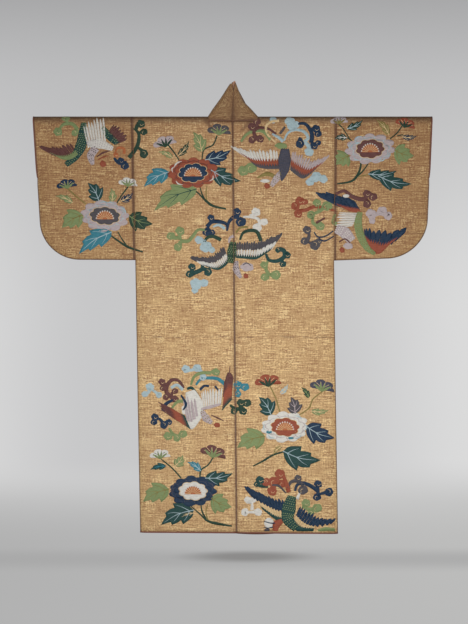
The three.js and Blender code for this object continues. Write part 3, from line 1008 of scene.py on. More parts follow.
@dataclass(frozen=True)
class GoldGround:
    """Gold-ground brocade: gilt wefts on a red-brown warp, worn and creased, with painted shade and painted glints.

    Ply is how far the seam's line lies from the seam, seamed how strongly the seams show, and the share before seamed
    how strongly the painted shade on the roll over the rod shows.
    """

    name: str
    effects: Effects
    tone: float = 1.0
    ply: float = 0.0
    # Strength of the painted shade on the roll over the rod
    soiled: float = 0.7
    seamed: float = 0.8

    def make(self) -> bpy.types.Material:
        """Builds the material.

        Returns:
            The material.
        """
        nodes, shader, material = surface(self.name)
        weave_map = nodes.map("Weave")
        rim_map = nodes.map("Rim")
        place = nodes.add("TexCoord").outputs["Object"]
        weave = nodes.place(self.effects.weave, {"Vector": weave_map, "Weft Pitch": 0.0013, "Warp Pitch": 0.0021})
        seams = nodes.place(self.effects.seams, {"Rim": rim_map, "Ply": self.ply}).outputs
        cross = weave.outputs["Cross"]
        age = nodes.place(self.effects.age, {"Vector": weave_map, "Place": place, "Cross": cross}).outputs
        gilt, light, dark, warp, glint = [
            (*[c * self.tone**k for c, k in zip(linear(rgb), TONE_POWERS)], 1.0) for rgb in GROUND_COLOURS
        ]
        thread = nodes.ramp(cross, 0.42, 0.56)
        colour = nodes.blend(thread, dark, gilt)
        colour = nodes.blend(nodes.math("MULTIPLY", weave.outputs["Thread"], 0.4), colour, light)
        # Of these layers, those over the upper robe, the roll, the creases, beside the seams and at the closed rims
        # are painted shade, and the glints are painted highlights; tone and flecks are the cloth's own wear
        layers = (
            (age["Tone"], 0.34, dark), (age["Upper"], 0.32, linear((132, 74, 34))), (age["Fleck"], 0.45, warp),
            (age["Glint"], 0.45, glint), (age["Crease"], 0.6, linear((96, 56, 32))),
            (age["Roll"], self.soiled, linear((62, 32, 12))), (seams["Shade"], 0.2, linear((88, 48, 24))),
            (seams["Seam"], self.seamed, linear((74, 34, 16))), (seams["Edge"], 0.7, linear((84, 46, 28))),
        )
        for mask, share, layer in layers:
            colour = nodes.blend(nodes.math("MULTIPLY", mask, share), colour, layer)
        height = nodes.math("MULTIPLY_ADD", thread, 0.4, weave.outputs["Height"])
        bump = nodes.add("Bump", {"Height": height, "Strength": 0.5, "Distance": 0.0004})
        rough = nodes.math("MULTIPLY_ADD", age["Glint"], -0.2, 0.62)
        nodes.feed(shader, {"Base Color": colour, "Roughness": rough, "Normal": bump.outputs[0]})
        shader.inputs["Sheen Weight"].default_value = 0.1
        shader.inputs["Sheen Roughness"].default_value = 0.5
        return material


@dataclass(frozen=True)
class Lining:
    """Plain silk lining in one dyed colour."""

    name: str
    colour: tuple[int, int, int]
    effects: Effects

    def make(self) -> bpy.types.Material:
        """Builds the material.

        Returns:
            The material.
        """
        nodes, shader, material = surface(self.name)
        weave_map = nodes.map("Weave")
        place = nodes.add("TexCoord").outputs["Object"]
        weave = nodes.place(self.effects.weave, {"Vector": weave_map, "Weft Pitch": 0.0008, "Warp Pitch": 0.0009})
        base = linear(self.colour)
        deep, faded = toned(base, 0.62), toned(base, 1.25, 0.015)
        wear = nodes.ramp(nodes.noise(place, (14, 14, 14), 3), 0.35, 0.7)
        colour = nodes.blend(wear, base, faded)
        colour = nodes.blend(nodes.math("MULTIPLY", weave.outputs["Thread"], 0.5), colour, deep)
        bump = nodes.add("Bump", {"Height": weave.outputs["Height"], "Strength": 0.35, "Distance": 0.0003})
        rough = nodes.math("MULTIPLY_ADD", wear, 0.14, 0.52)
        nodes.feed(shader, {"Base Color": colour, "Roughness": rough, "Normal": bump.outputs[0]})
        shader.inputs["Sheen Weight"].default_value = 0.2
        return material


@dataclass(frozen=True)
class BareWood:
    """Planed, unvarnished wood with its grain along X."""

    name: str = "plain_wood"

    def make(self) -> bpy.types.Material:
        """Builds the material.

        Returns:
            The material.
        """
        nodes, shader, material = surface(self.name)
        place = nodes.add("TexCoord").outputs["Object"]
        rings = nodes.noise(place, (1.6, 90, 90), 3, 0.6)
        pores = nodes.noise(place, (22, 620, 620), 2, 0.6)
        grain = nodes.ramp(rings, 0.35, 0.65)
        colour = nodes.blend(grain, linear((176, 136, 92)), linear((140, 100, 62)))
        pore = nodes.ramp(pores, 0.56, 0.7)
        colour = nodes.blend(nodes.math("MULTIPLY", pore, 0.5), colour, linear((98, 66, 40)))
        height = nodes.math("MULTIPLY_ADD", pore, -0.6, grain)
        bump = nodes.add("Bump", {"Height": height, "Strength": 0.3, "Distance": 0.0005})
        rough = nodes.math("MULTIPLY_ADD", grain, 0.12, 0.5)
        nodes.feed(shader, {"Base Color": colour, "Roughness": rough, "Normal": bump.outputs[0]})
        return material


@dataclass
class Finishes:
    """All finishes of the robe and the rod."""

    effects: Effects = field(default_factory=Effects)

    def __post_init__(self) -> None:
        """Builds each finish once."""
        self.body = GoldGround("gold_ground_body", self.effects).make()
        # The sleeve and collar grounds are darker copies of the body's ground: painted shade
        self.sleeve = GoldGround("gold_ground_sleeve", self.effects, 0.8, 0.0042).make()
        self.collar = GoldGround("gold_ground_collar", self.effects, 0.88, soiled=0.36, seamed=0.5).make()
        self.lining = Lining("red_brown_lining", (112, 58, 36), self.effects).make()
        self.pale_lining = Lining("collar_lining", (176, 128, 98), self.effects).make()
        self.wood = BareWood().make()


class Run(Enum):
    """Stretch of a strip that hangs over the rod."""

    BACK = "up the back"
    TURN = "over the rod"
    FRONT = "down the front"


def strip_rows(rises: Sequence[float]) -> list[tuple[Run, float]]:
    """Rows of a strip, from the lower end of its back over the rod to the lower end of its front.

    Args:
        rises: Stations of one face, from its lower end to the rod's axis.

    Returns:
        The stretch and the station of each row.
    """
    rows = [(Run.BACK, z) for z in rises] + [(Run.TURN, v) for v in steps(0, FORM.over, 3)[1:-1]]
    return rows + [(Run.FRONT, z) for z in reversed(rises)]


@dataclass
class BodyPanel:
    """One strip of the body, from the back hem over the rod to the front hem."""

    side: Side
    form: RobeForm = FORM

    def inner_stations(self) -> list[float]:
        """Stations from the neck corner to the middle seam, as distances from that seam."""
        return merged(SEAM_STATIONS, steps(SEAM_STATIONS[-1], self.form.neck_half, GRID))

    def outer_stations(self) -> list[float]:
        """Stations from the neck corner to the side seam, as distances from the middle seam.

        Returns:
            The stations.
        """
        form = self.form
        inner = steps(form.neck_half, form.panel - EDGE_STATIONS[-1], GRID)
        return merged(inner, [form.panel - s for s in EDGE_STATIONS])

    def rises(self) -> list[float]:
        """Heights of the rows of one face, from the hem to the rod's axis.

        Returns:
            The heights.
        """
        form = self.form
        closed = SLEEVE_CUTS[self.side].inner_bottom
        near = [closed + s for s in (0, 1, 3, 7, 13, 20, 30)]
        return merged(steps(form.hem, closed, GRID), near, steps(closed + 30, -20, GRID), [-14, -7, 0])

    def rim(self, reach: float, z: float) -> Point:
        """Distances in metres to the nearest seam and to the side's closed edge.

        Args:
            reach: Distance from the middle seam.
            z: Height.

        Returns:
            The two distances.
        """
        to_side = self.form.panel - reach
        closed = SLEEVE_CUTS[self.side].inner_bottom
        seam = reach if z < closed else min(reach, to_side + 2)
        return seam * MM, (to_side if z < closed else math.hypot(to_side, z - closed) + 1) * MM

    def corner(self, reach: float, z: float, v: float, face: Face) -> Laid:
        """Corner of the strip below the rod.

        Args:
            reach: Distance from the middle seam.
            z: Height.
            v: Distance along the strip, for the weave.
            face: Face of the robe.

        Returns:
            The corner.
        """
        form, side = self.form, self.side
        p = side * reach
        z = form.to_hem(p, z, face)
        weave, rim = (p * MM, v * MM), self.rim(reach, z)
        if reach >= form.panel and z <= SLEEVE_CUTS[side].inner_bottom + 1e-6:
            hem = form.to_hem(p, z, Face.BACK) if z > form.hem else form.hem_height(p, Face.BACK)
            z = hem if z < form.hem + 60 else z
            return Laid(Vector((form.across(p, z) - side * form.closed_inset, 0, z)), weave, rim)
        gap = side * form.seam_gap / 2 if reach == 0 else 0
        return Laid(Vector((form.across(p, z) + gap, form.body_y(p, z, side, face), z)), weave, rim)

    def build(self) -> Cloth:
        """Lays the strip's three grids.

        Returns:
            The cloth, unsewn.
        """
        form, side = self.form, self.side
        cloth = Cloth(f"brocade_body_{side.word}")
        rises = self.rises()
        rows = strip_rows(rises)

        def outer(reach: float, row: float) -> Laid:
            """Corner beside the neck, over the whole length.

            Args:
                reach: Distance from the middle seam.
                row: Number of the row.

            Returns:
                The corner.
            """
            where, value = rows[int(row)]
            if where == Run.TURN:
                p = side * reach
                return Laid(form.over_rod(form.across(p, 0), value), (p * MM, value * MM), self.rim(reach, 0))
            face = Face.BACK if where == Run.BACK else Face.FRONT
            v = value if face == Face.BACK else form.over - value
            if value == 0:
                place = Vector((form.across(side * reach, 0), face * form.turn, 0))
                return Laid(place, (side * reach * MM, v * MM), self.rim(reach, 0))
            return self.corner(reach, value, v, face)

        cloth.lay(self.outer_stations(), range(len(rows)), outer)

        def inner_back(reach: float, z: float) -> Laid:
            """Corner below the neck on the back.

            Args:
                reach: Distance from the middle seam.
                z: Height.

            Returns:
                The corner.
            """
            laid = self.corner(reach, z, z, Face.BACK)
            if z == 0:
                laid.place.y = -form.turn
                laid.place.z = 0 if reach == form.neck_half else -form.seam_gap / 2
            return Laid(laid.place, laid.weave, (min(laid.rim[0], -z * MM), NONE_NEAR))

        cloth.lay(self.inner_stations(), rises, inner_back)

        def inner_front(reach: float, z: float) -> Laid:
            """Corner below the slanting collar seam on the front.

            Args:
                reach: Distance from the middle seam.
                z: Height.

            Returns:
                The corner.
            """
            if reach == form.neck_half:
                if z == 0:
                    place = Vector((form.across(side * reach, 0), form.turn, 0))
                    return Laid(place, (side * reach * MM, 0), (0, NONE_NEAR))
                return self.corner(reach, z, form.over - z, Face.FRONT)
            top = form.seam_height(-reach) - form.seam_drop
            height = mix(top, form.hem, z / form.hem)
            laid = self.corner(reach, height, form.over - height, Face.FRONT)
            return Laid(laid.place, laid.weave, (min(reach, top - height) * MM, NONE_NEAR))

        cloth.lay(self.inner_stations(), rises, inner_front)
        return cloth


@dataclass
class SleevePanel:
    """One sleeve, folded over the rod and closed along its bottom, its corner and up to its cuff."""

    side: Side
    form: RobeForm = FORM
    low_rise: float = 60
    cuff_rise: float = 160

    def stations(self) -> list[float]:
        """Stations across, as distances in from the outer edge of the cut.

        Returns:
            The stations.
        """
        cut = SLEEVE_CUTS[self.side]
        wide = cut.reach - self.form.panel
        middle = merged(steps(EDGE_STATIONS[-1], cut.radius, GRID), steps(cut.radius, wide - SEAM_STATIONS[-1], GRID))
        return merged(EDGE_STATIONS, middle, [wide - s for s in SEAM_STATIONS])

    def height(self, row: float, bottom: float) -> float:
        """Height of a row, by its rise above the bottom, below the cuff, or above the cuff's start.

        Args:
            row: The row.
            bottom: Height of the lower edge there.

        Returns:
            The height.
        """
        low, cuff = self.low_rise, self.cuff_rise
        if row <= low:
            return bottom + row
        if row <= cuff:
            return mix(bottom + low, self.form.cuff_bottom, (row - low) / (cuff - low))
        return self.form.cuff_bottom + row - cuff

    def rises(self) -> list[float]:
        """Rows of one face: their rise above the bottom, and from low_rise on a count that height spreads.

        Returns:
            The rows, from the bottom to the rod's axis.
        """
        low, cuff = self.low_rise, self.cuff_rise
        top = cuff - self.form.cuff_bottom
        near = merged(EDGE_STATIONS, (48, low), steps(low, cuff, 4.2), [cuff + s for s in EDGE_STATIONS])
        return merged(near, steps(cuff + EDGE_STATIONS[-1], top - 20, GRID), (top - 14, top - 7, top))

    def build(self) -> Cloth:
        """Lays the sleeve's grid.

        Returns:
            The cloth, unsewn.
        """
        form, side = self.form, self.side
        wide = SLEEVE_CUTS[side].reach - form.panel
        rises = self.rises()
        rows = strip_rows(rises)
        cloth = Cloth(f"brocade_sleeve_{side.word}")

        def corner(inset: float, row: float) -> Laid:
            """Corner of the sleeve at a distance in from its outer edge.

            Args:
                inset: Distance in from the outer edge of the cut.
                row: Number of the row.

            Returns:
                The corner.
            """
            where, value = rows[int(row)]
            seam = (wide - inset) * MM
            if where == Run.TURN:
                x = form.sleeve_x(side, inset, 0)
                return Laid(form.over_rod(x, value), (x * MM, value * MM), (seam, (inset + 1) * MM))
            face = Face.BACK if where == Run.BACK else Face.FRONT
            z = self.height(value, form.corner_bottom(side, inset))
            x = form.sleeve_x(side, inset, z)
            v = z if face == Face.BACK else form.over - z
            weave = (x * MM, v * MM)
            closed = value == 0 or (inset == 0 and z <= form.cuff_bottom + 1e-6)
            if closed:
                return Laid(Vector((x, 0, z)), weave, (seam, 0))
            edge = form.sleeve_distance(side, inset, z) if z < form.cuff_bottom else inset + 1
            y = face * form.turn if z >= -1e-6 else form.sleeve_y(side, inset, z, face)
            return Laid(Vector((x, y, z)), weave, (seam, edge * MM))

        cloth.lay(self.stations(), range(len(rows)), corner)
        return cloth


@dataclass(frozen=True)
class CollarShape:
    """Where one half of the collar folds over, from its seam up to its top edge."""

    fold: tuple[Point, ...]
    hump: Point
    apex: Point


COLLAR_SHAPES = {
    Side.LEFT: CollarShape(
        ((-87, 15.6), (-70.5, 42), (-55.5, 62.5), (-38, 87), (-23, 111), (-8.5, 132.7)), (0, 140), (8.5, 145)
    ),
    Side.RIGHT: CollarShape(
        ((89.2, 15.6), (66, 41.5), (49, 58.5), (32.5, 77), (23.5, 101), (12.5, 131)), (11.2, 127.5), (9.6, 123)
    ),
}

# Crosswise lines of the collar's band: height on the seam, and drop of its free edge below the top of the fold
BAND_LINES = (
    (-22, 0), (-38, 28), (-62, 76), (-100, 140), (-160, 225), (-240, 320), (-330, 420), (-430, 530),
    (-535, 640), (-640, 750), (-745, 860),
)


@dataclass
class CollarHalf:
    """One half of the collar: behind the neck, over the fold, and down the front as a slanting band."""

    side: Side
    form: RobeForm = FORM
    edge_reach: float = 284
    edge_end: float = -820
    proud: float = 0.5
    width: float = 142
    seam_zone: float = 20

    def fold_at(self, level: float) -> Point:
        """Place on the fold line at a level from 0 at the seam to 1 at the top edge.

        Args:
            level: Share of the way across, from the seam.

        Returns:
            The place, in x and z.
        """
        fold = COLLAR_SHAPES[self.side].fold
        where = level * (len(fold) - 1)
        k = min(int(where), len(fold) - 2)
        return curved([fold[max(0, min(len(fold) - 1, k + s))] for s in (-1, 0, 1, 2)], where - k)

    def behind(self, share: float, level: float) -> Vector:
        """Place behind the neck, at a share of the way from the centre back to the fold.

        Args:
            share: Share of the way.
            level: Share of the way across, from the seam.

        Returns:
            The place.
        """
        form, side = self.form, self.side
        end = self.turned(-math.pi / 2, level)
        x = mix(mix(0, 3.2, level) + side * form.seam_gap / 2, end.x, share)
        z = form.seam_gap / 2 if level == 0 else mix(mix(0, 102.4, level), end.z, share)
        return Vector((x, mix(form.collar_back_y(z), end.y, share), z))

    def turned(self, angle: float, level: float) -> Vector:
        """Place on the turn of the fold, from the back (-90 degrees) to the front.

        Args:
            angle: Turn about the fold, -90 degrees at the back.
            level: Share of the way across, from the seam.

        Returns:
            The place.
        """
        form, side = self.form, self.side
        x, z = self.fold_at(level)
        opening = 1 - math.cos(angle)
        back = -form.collar_turn if level == 0 else form.collar_back_y(z)
        front = form.collar_turn if level == 0 else form.front_y(x, z, side)
        radius = (front - back) / 2
        y = (front + back) / 2 + radius * math.sin(angle)
        if level == 0:
            low = max(form.collar_turn * math.cos(angle), form.seam_gap if angle < 0 else 0)
            return Vector((form.across(side * form.neck_half, 0) - side * form.seam_gap, y, low))
        return Vector((x - side * opening * radius * level, y, z - opening * z * (1 - level) * 0.6))

    def lines(self) -> list[tuple[float, Point]]:
        """Crosswise lines of the band: height on the seam, and place on the free edge.

        Returns:
            The lines, from the top down.
        """
        form, side = self.form, self.side
        shape = COLLAR_SHAPES[side]
        edge = slant((-side * shape.apex[0], shape.apex[1]), (self.edge_reach, self.edge_end), 0.36)
        fall = shape.apex[1] - self.edge_end
        found = [(-10.0, shape.hump)]
        for seam, below in BAND_LINES:
            z = shape.apex[1] - below * fall / (form.top_height - self.edge_end)
            found.append((seam, (-side * edge(z), z)))
        found.append((form.seam_end, (-side * self.edge_reach, self.edge_end)))
        return found

    def banded(self, where: float, level: float) -> Vector:
        """Place on the front band, by the number of the crosswise line and the share across.

        Args:
            where: Number of the crosswise line, with its fraction.
            level: Share of the way across, from the seam.

        Returns:
            The place.
        """
        form, side = self.form, self.side
        lines = self.lines()
        k = min(int(where), len(lines) - 2)
        t = where - k
        seam = mix(lines[k][0], lines[k + 1][0], t)
        edge = (mix(lines[k][1][0], lines[k + 1][1][0], t), mix(lines[k][1][1], lines[k + 1][1][1], t))
        p = mix(-side * form.seam_line(seam), edge[0], level)
        z = mix(seam, edge[1], level)
        run, rise = form.seam_across(seam, side)
        gap = -side * form.seam_gap / 2 if level == 0 else 0
        y = form.front_y(p, z, side) + self.proud
        return Vector((form.across(p, z) + run * gap, y, z + rise * gap))

    def build(self) -> Cloth:
        """Lays the collar's grid.

        Returns:
            The cloth, unsewn.
        """
        cloth = Cloth(f"brocade_collar_{self.side.word}")
        runs = [(self.behind, s) for s in (0, 0.03, 0.08, 0.16, 0.26, 0.38, 0.5, 0.62, 0.74, 0.86)]
        runs += [(self.turned, math.radians(a)) for a in steps(-90, 90, 15)]
        runs += [(self.banded, w) for w in merged(steps(0, 4, 1 / 3), steps(4, 12, 1 / 9))]
        stations = []
        length = 0.0
        last = self.behind(0, 0.5)
        for laid, value in runs:
            middle = laid(value, 0.5)
            length += (middle - last).length
            last = middle
            stations.append((laid, value, length))
        levels = merged((0, 0.01, 0.03, 0.07), steps(0.07, 0.93, 0.078), (0.97, 0.99, 1))

        def corner(level: float, column: float) -> Laid:
            """Corner of the collar at a level across its band.

            Args:
                level: Share of the way across, from the seam.
                column: Number of the column.

            Returns:
                The corner.
            """
            laid, value, run = stations[int(column)]
            across = level * self.width
            seam = min(across, run) if run < self.seam_zone else across
            return Laid(laid(value, level), (run * MM, across * MM), (seam * MM, NONE_NEAR))

        cloth.lay(levels, range(len(stations)), corner)
        return cloth


@dataclass
class OverlapPanel:
    """Narrow overlap panel from the front edge of the body to its own straight edge."""

    side: Side
    form: RobeForm = FORM

    def build(self) -> Cloth:
        """Lays the panel's grid.

        Returns:
            The cloth, unsewn.
        """
        form, side = self.form, self.side
        cloth = Cloth(f"brocade_okumi_{side.word}")
        rows = merged((0, 0.001, 0.003, 0.008), steps(0.008, 1, 0.0085))

        def corner(reach: float, share: float) -> Laid:
            """Corner at a distance from the body's seam and a share of the way down.

            Args:
                reach: Distance from the middle seam.
                share: Share of the way.

            Returns:
                The corner.
            """
            p = -side * reach
            top = form.seam_height(reach) - form.seam_drop
            z = mix(top, form.hem_height(p, Face.FRONT), share)
            gap = side * form.seam_gap / 2 if reach == form.seam_gap else 0
            place = Vector((form.across(p, z) - gap, form.front_y(p, z, side), z))
            seam = min(reach, top - z)
            return Laid(place, (p * MM, (form.over - z) * MM), (seam * MM, (form.okumi - reach + 1) * MM))

        near = [form.seam_gap + s for s in SEAM_STATIONS]
        cloth.lay(merged(near, steps(near[-1], form.okumi, GRID)), rows, corner)
        return cloth


@dataclass
class LiningLips:
    """Narrow rolls of lining that show below the hems and round the cuffs."""

    side: Side
    form: RobeForm = FORM
    height: float = 4.2
    bulge: float = 0.7
    cuff_width: float = 3.4
    cuff_gap: float = 3
    cuff_taper: float = 36
    end_share: float = 0.2

    def roll(
        self, name: str, line: Sequence[tuple[Vector, Vector]], along: Vector, wide: float, taper: float = 0
    ) -> Cloth:
        """Lays a narrow roll beside a line.

        Args:
            name: Name of the piece.
            line: Points of the line with the outward direction at each.
            along: Direction in which the roll hangs from the line.
            wide: How far it hangs.
            taper: Length over which it narrows towards both ends, or 0.

        Returns:
            The roll, unsewn.
        """
        cloth = Cloth(name)
        lengths = [0.0]
        for (a, _), (b, _) in zip(line, line[1:]):
            lengths.append(lengths[-1] + (b - a).length)

        def corner(column: float, share: float) -> Laid:
            """Corner of the roll, bulged between its edges.

            Args:
                column: Number of the column.
                share: Share of the way.

            Returns:
                The corner.
            """
            point, outward = line[int(column)]
            swell = self.bulge * math.sin(math.pi * share)
            end = min(lengths[int(column)], lengths[-1] - lengths[int(column)])
            width = wide * (mix(self.end_share, 1, smooth(end / taper)) if taper else 1)
            place = point + along * (self.form.seam_gap + width * share) + outward * swell
            return Laid(place, (lengths[int(column)] * MM, wide * share * MM), (NONE_NEAR, NONE_NEAR))

        cloth.lay(range(len(line)), steps(0, 1, 0.2), corner)
        return cloth

    def body_hem(self) -> Cloth:
        """Roll below the body strip's hem, from the centre back round the side to the front seam.

        Returns:
            The roll.
        """
        form, side = self.form, self.side
        reaches = steps(0, form.panel - EDGE_STATIONS[-1], GRID)
        reaches = merged(reaches, [form.panel - s for s in EDGE_STATIONS])
        line = []
        for face, run in ((Face.BACK, reaches), (Face.FRONT, list(reversed(reaches))[1:])):
            for reach in run:
                p = side * reach
                z = form.hem_height(p, face)
                if reach >= form.panel:
                    z = form.hem_height(p, Face.BACK)
                    point = Vector((form.across(p, z) - side * form.closed_inset, 0, z))
                    line.append((point, Vector((side, 0, 0))))
                    continue
                gap = side * form.seam_gap / 2 if reach == 0 else 0
                point = Vector((form.across(p, z) + gap, form.body_y(p, z, side, face), z))
                line.append((point, Vector((0, face, 0))))
        return self.roll(f"lining_hem_{side.word}", line, Vector((0, 0, -1)), self.height)

    def okumi_hem(self) -> Cloth:
        """Roll below the overlap panel's hem.

        Returns:
            The roll.
        """
        form, side = self.form, self.side
        line = []
        for reach in steps(form.seam_gap, form.okumi, GRID):
            p = -side * reach
            z = form.hem_height(p, Face.FRONT)
            gap = side * form.seam_gap / 2 if reach == form.seam_gap else 0
            point = Vector((form.across(p, z) - gap, form.front_y(p, z, side), z))
            line.append((point, Vector((0, 1, 0))))
        return self.roll(f"lining_okumi_{side.word}", line, Vector((0, 0, -1)), self.height)

    def cuff(self) -> Cloth:
        """Roll round the cuff opening, as a closed loop.

        Returns:
            The roll.
        """
        form, side = self.form, self.side
        low = form.cuff_bottom + self.cuff_gap
        heights = merged([low + s for s in (1.5, 4, 8, 14, 22, 34)], steps(low + 34, -4, 9))
        line = [(Vector((form.sleeve_x(side, 0, low), 0, low)), Vector((0, 0, -1)))]

        def run(face: Face, levels: Iterable[float]) -> None:
            """Adds one face of the loop.

            Args:
                face: Face of the robe.
                levels: Heights.
            """
            for z in levels:
                y = face * form.half_depth(z) * form.edge_share(form.sleeve_distance(side, 0, z))
                line.append((Vector((form.sleeve_x(side, 0, z), y, z)), Vector((0, face, 0))))

        run(Face.BACK, heights)
        for v in steps(0, form.over, 3):
            point = form.over_rod(form.sleeve_x(side, 0, 0), v)
            line.append((point, Vector((0, point.y, point.z)).normalized()))
        run(Face.FRONT, reversed(heights))
        line.append(line[0])
        return self.roll(f"lining_cuff_{side.word}", line, Vector((side, 0, 0)), self.cuff_width, self.cuff_taper)


class Silk(Enum):
    """Colours of the brocading silks."""

    RUST = (132, 62, 38)
    NAVY = (2, 36, 62)
    TEAL = (8, 54, 50)
    TURQUOISE = (42, 110, 124)
    GREEN = (112, 126, 80)
    DEEP_GREEN = (24, 52, 36)
    OLIVE = (122, 108, 56)
    PLUM = (88, 50, 46)
    LILAC = (162, 148, 148)
    WHITE = (192, 188, 180)
    PALE = (150, 168, 172)
    GREY = (66, 62, 66)
    INDIGO = (56, 56, 70)
    CREAM = (196, 168, 124)
    ORANGE = (160, 90, 50)

    @property
    def number(self) -> int:
        """Place of the silk among the finishes of a brocaded panel."""
        return list(Silk).index(self)


class Patch(NamedTuple):
    """A filled outline of the weaver's draft, in squares, and how many floats lie below it."""

    silk: Silk
    layer: float
    outline: list[Point]
    band: bool = False


def through(points: Sequence[Point], per: int = 5) -> list[Point]:
    """Smooth line through points.

    Args:
        points: The points.
        per: Stations between neighbours.

    Returns:
        The line's stations.
    """
    ends = [points[0], *points, points[-1]]
    runs = zip(ends, ends[1:], ends[2:], ends[3:])
    return [*(curved(run, k / per) for run in runs for k in range(per)), points[-1]]


def along(values: Sequence[float], t: float) -> float:
    """Value a share of the way along a short list.

    Args:
        values: Two or more values.
        t: The share.

    Returns:
        The value there.
    """
    where = clamp(t) * (len(values) - 1)
    k = min(int(where), len(values) - 2)
    return mix(values[k], values[k + 1], where - k)


def grouped(run: Sequence[float], size: int = 2) -> list[tuple[float, ...]]:
    """Groups of numbers, such as columns and rows, from one flat run."""
    return [tuple(run[k:k + size]) for k in range(0, len(run), size)]


class Draft:
    """The weaver's draft: patches of silk in squares, columns to the right and rows down from an origin."""

    def __init__(self, origin: Point) -> None:
        """Starts an empty draft."""
        self.origin = origin
        self.patches: list[Patch] = []

    def fill(self, silk: Silk, layer: float, outline: Iterable[Point], band: bool = False) -> None:
        """Fills an outline, strip by strip where it is the two sides of a band."""
        left, top = self.origin
        self.patches.append(Patch(silk, layer, [(left + x, top + y) for x, y in outline], band))

    def ribbon(self, silk: Silk, layer: float, points: Sequence[Point], widths: Sequence[float], per: int = 5) -> None:
        """Fills a band along a smooth line.

        Args:
            silk: Its silk.
            layer: Its layer.
            points: Points of the line.
            widths: Two or more widths from start to end.
            per: Stations between neighbouring points.
        """
        line = through(points, per) if len(points) > 2 else list(points)
        last = len(line) - 1
        left, right = [], []
        for k, (x, y) in enumerate(line):
            ahead, behind = line[min(last, k + 1)], line[max(0, k - 1)]
            dx, dy = ahead[0] - behind[0], ahead[1] - behind[1]
            size = math.hypot(dx, dy) or 1
            half = 0.5 * max(0.12, along(widths, k / last))
            left.append((x - dy / size * half, y + dx / size * half))
            right.append((x + dy / size * half, y - dx / size * half))
        self.fill(silk, layer, left + right[::-1], True)

    def disc(
        self, silk: Silk, layer: float, centre: Point, radii: Point, lobes: int = 0, depth: float = 0.15,
        turn: float = 0.0,
    ) -> None:
        """Fills an ellipse, scalloped where it has lobes.

        Args:
            silk: Its silk.
            layer: Its layer.
            centre: Its centre.
            radii: Half width and half height.
            lobes: Number of scallops.
            depth: Depth of the notches as a share of the radius.
            turn: Turn of the scallops in radians.
        """
        count = max(10, lobes * 6)
        outline = []
        for k in range(count):
            angle = 2 * math.pi * k / count
            notch = 1 - abs(math.sin(0.5 * lobes * angle + turn)) ** 0.55 if lobes else 0
            uneven = 1 + 0.05 * math.sin(2 * angle + 3 * turn) * bool(lobes)
            reach = (1 - depth * notch) * uneven
            across, down = radii[0] * reach * math.cos(angle), radii[1] * reach * math.sin(angle)
            outline.append((centre[0] + across, centre[1] + down))
        self.fill(silk, layer, outline)


# Rim of one half of a leaf: shares of its length and of its half width
LEAF_RIM = (
    (0.02, 0.12), (0.07, 0.42), (0.16, 0.66), (0.29, 0.84), (0.46, 1.0), (0.465, 0.6),
    (0.58, 0.66), (0.76, 0.6), (0.77, 0.32), (0.88, 0.2),
)


@dataclass(frozen=True)
class Leaf:
    """A leaf from base to tip with two lobes on each side, broader where it counts three, and pale veins."""

    silk: Silk
    base: Point
    tip: Point
    width: float
    lobes: int = 1
    vein: Silk = Silk.CREAM
    layer: float = 1.0

    def draw(self, draft: Draft) -> None:
        """Draws the blade, its midrib and its side veins.

        Args:
            draft: The draft.
        """
        (bx, by), (tx, ty) = self.base, self.tip
        length = math.hypot(tx - bx, ty - by)
        ux, uy = (tx - bx) / length, (ty - by) / length
        wide = self.width * (0.76 if self.lobes == 3 else 0.56)

        def at(t: float, off: float) -> Point:
            """Place at a share of the length and a share of the half width from the midrib."""
            bow = 0.08 * length * math.sin(math.pi * t)
            return bx + ux * length * t - uy * (off * wide + bow), by + uy * length * t + ux * (off * wide + bow)

        near = [at(t, w) for t, w in LEAF_RIM]
        away = [at(t * 0.93 + 0.01, -w * 0.94) for t, w in LEAF_RIM]
        draft.fill(self.silk, self.layer, [self.base, *away, self.tip, *reversed(near)])
        vein, layer = self.vein, self.layer + 1
        draft.ribbon(vein, layer, [at(0.0, 0), at(0.45, 0), at(0.88, 0)], (0.9, 0.7, 0.15), 4)
        for start, end, off in ((0.12, 0.41, 0.78), (0.38, 0.7, 0.45)):
            over = [at(start, 0), at(mix(start, end, 0.5), off * 0.58), at(end, off)]
            under = [at(start, 0), at(mix(start, end, 0.45), -off * 0.55), at(end * 0.93, -off * 0.9)]
            for line in (over, under):
                draft.ribbon(vein, layer, line, (0.7, 0.15), 3)


@dataclass(frozen=True)
class Stem:
    """A woody stem along a smooth line."""

    silk: Silk
    line: tuple[float, ...]
    widths: tuple[float, ...] = (1.5, 1.2)
    layer: float = 0.5

    def draw(self, draft: Draft) -> None:
        """Draws the stem."""
        draft.ribbon(self.silk, self.layer, grouped(self.line), self.widths)


@dataclass(frozen=True)
class Disc:
    """A plain or scalloped spot."""

    silk: Silk
    centre: Point
    radii: Point
    lobes: int = 0
    layer: float = 2.0
    depth: float = 0.15

    def draw(self, draft: Draft) -> None:
        """Draws the spot."""
        draft.disc(self.silk, self.layer, self.centre, self.radii, self.lobes, self.depth)


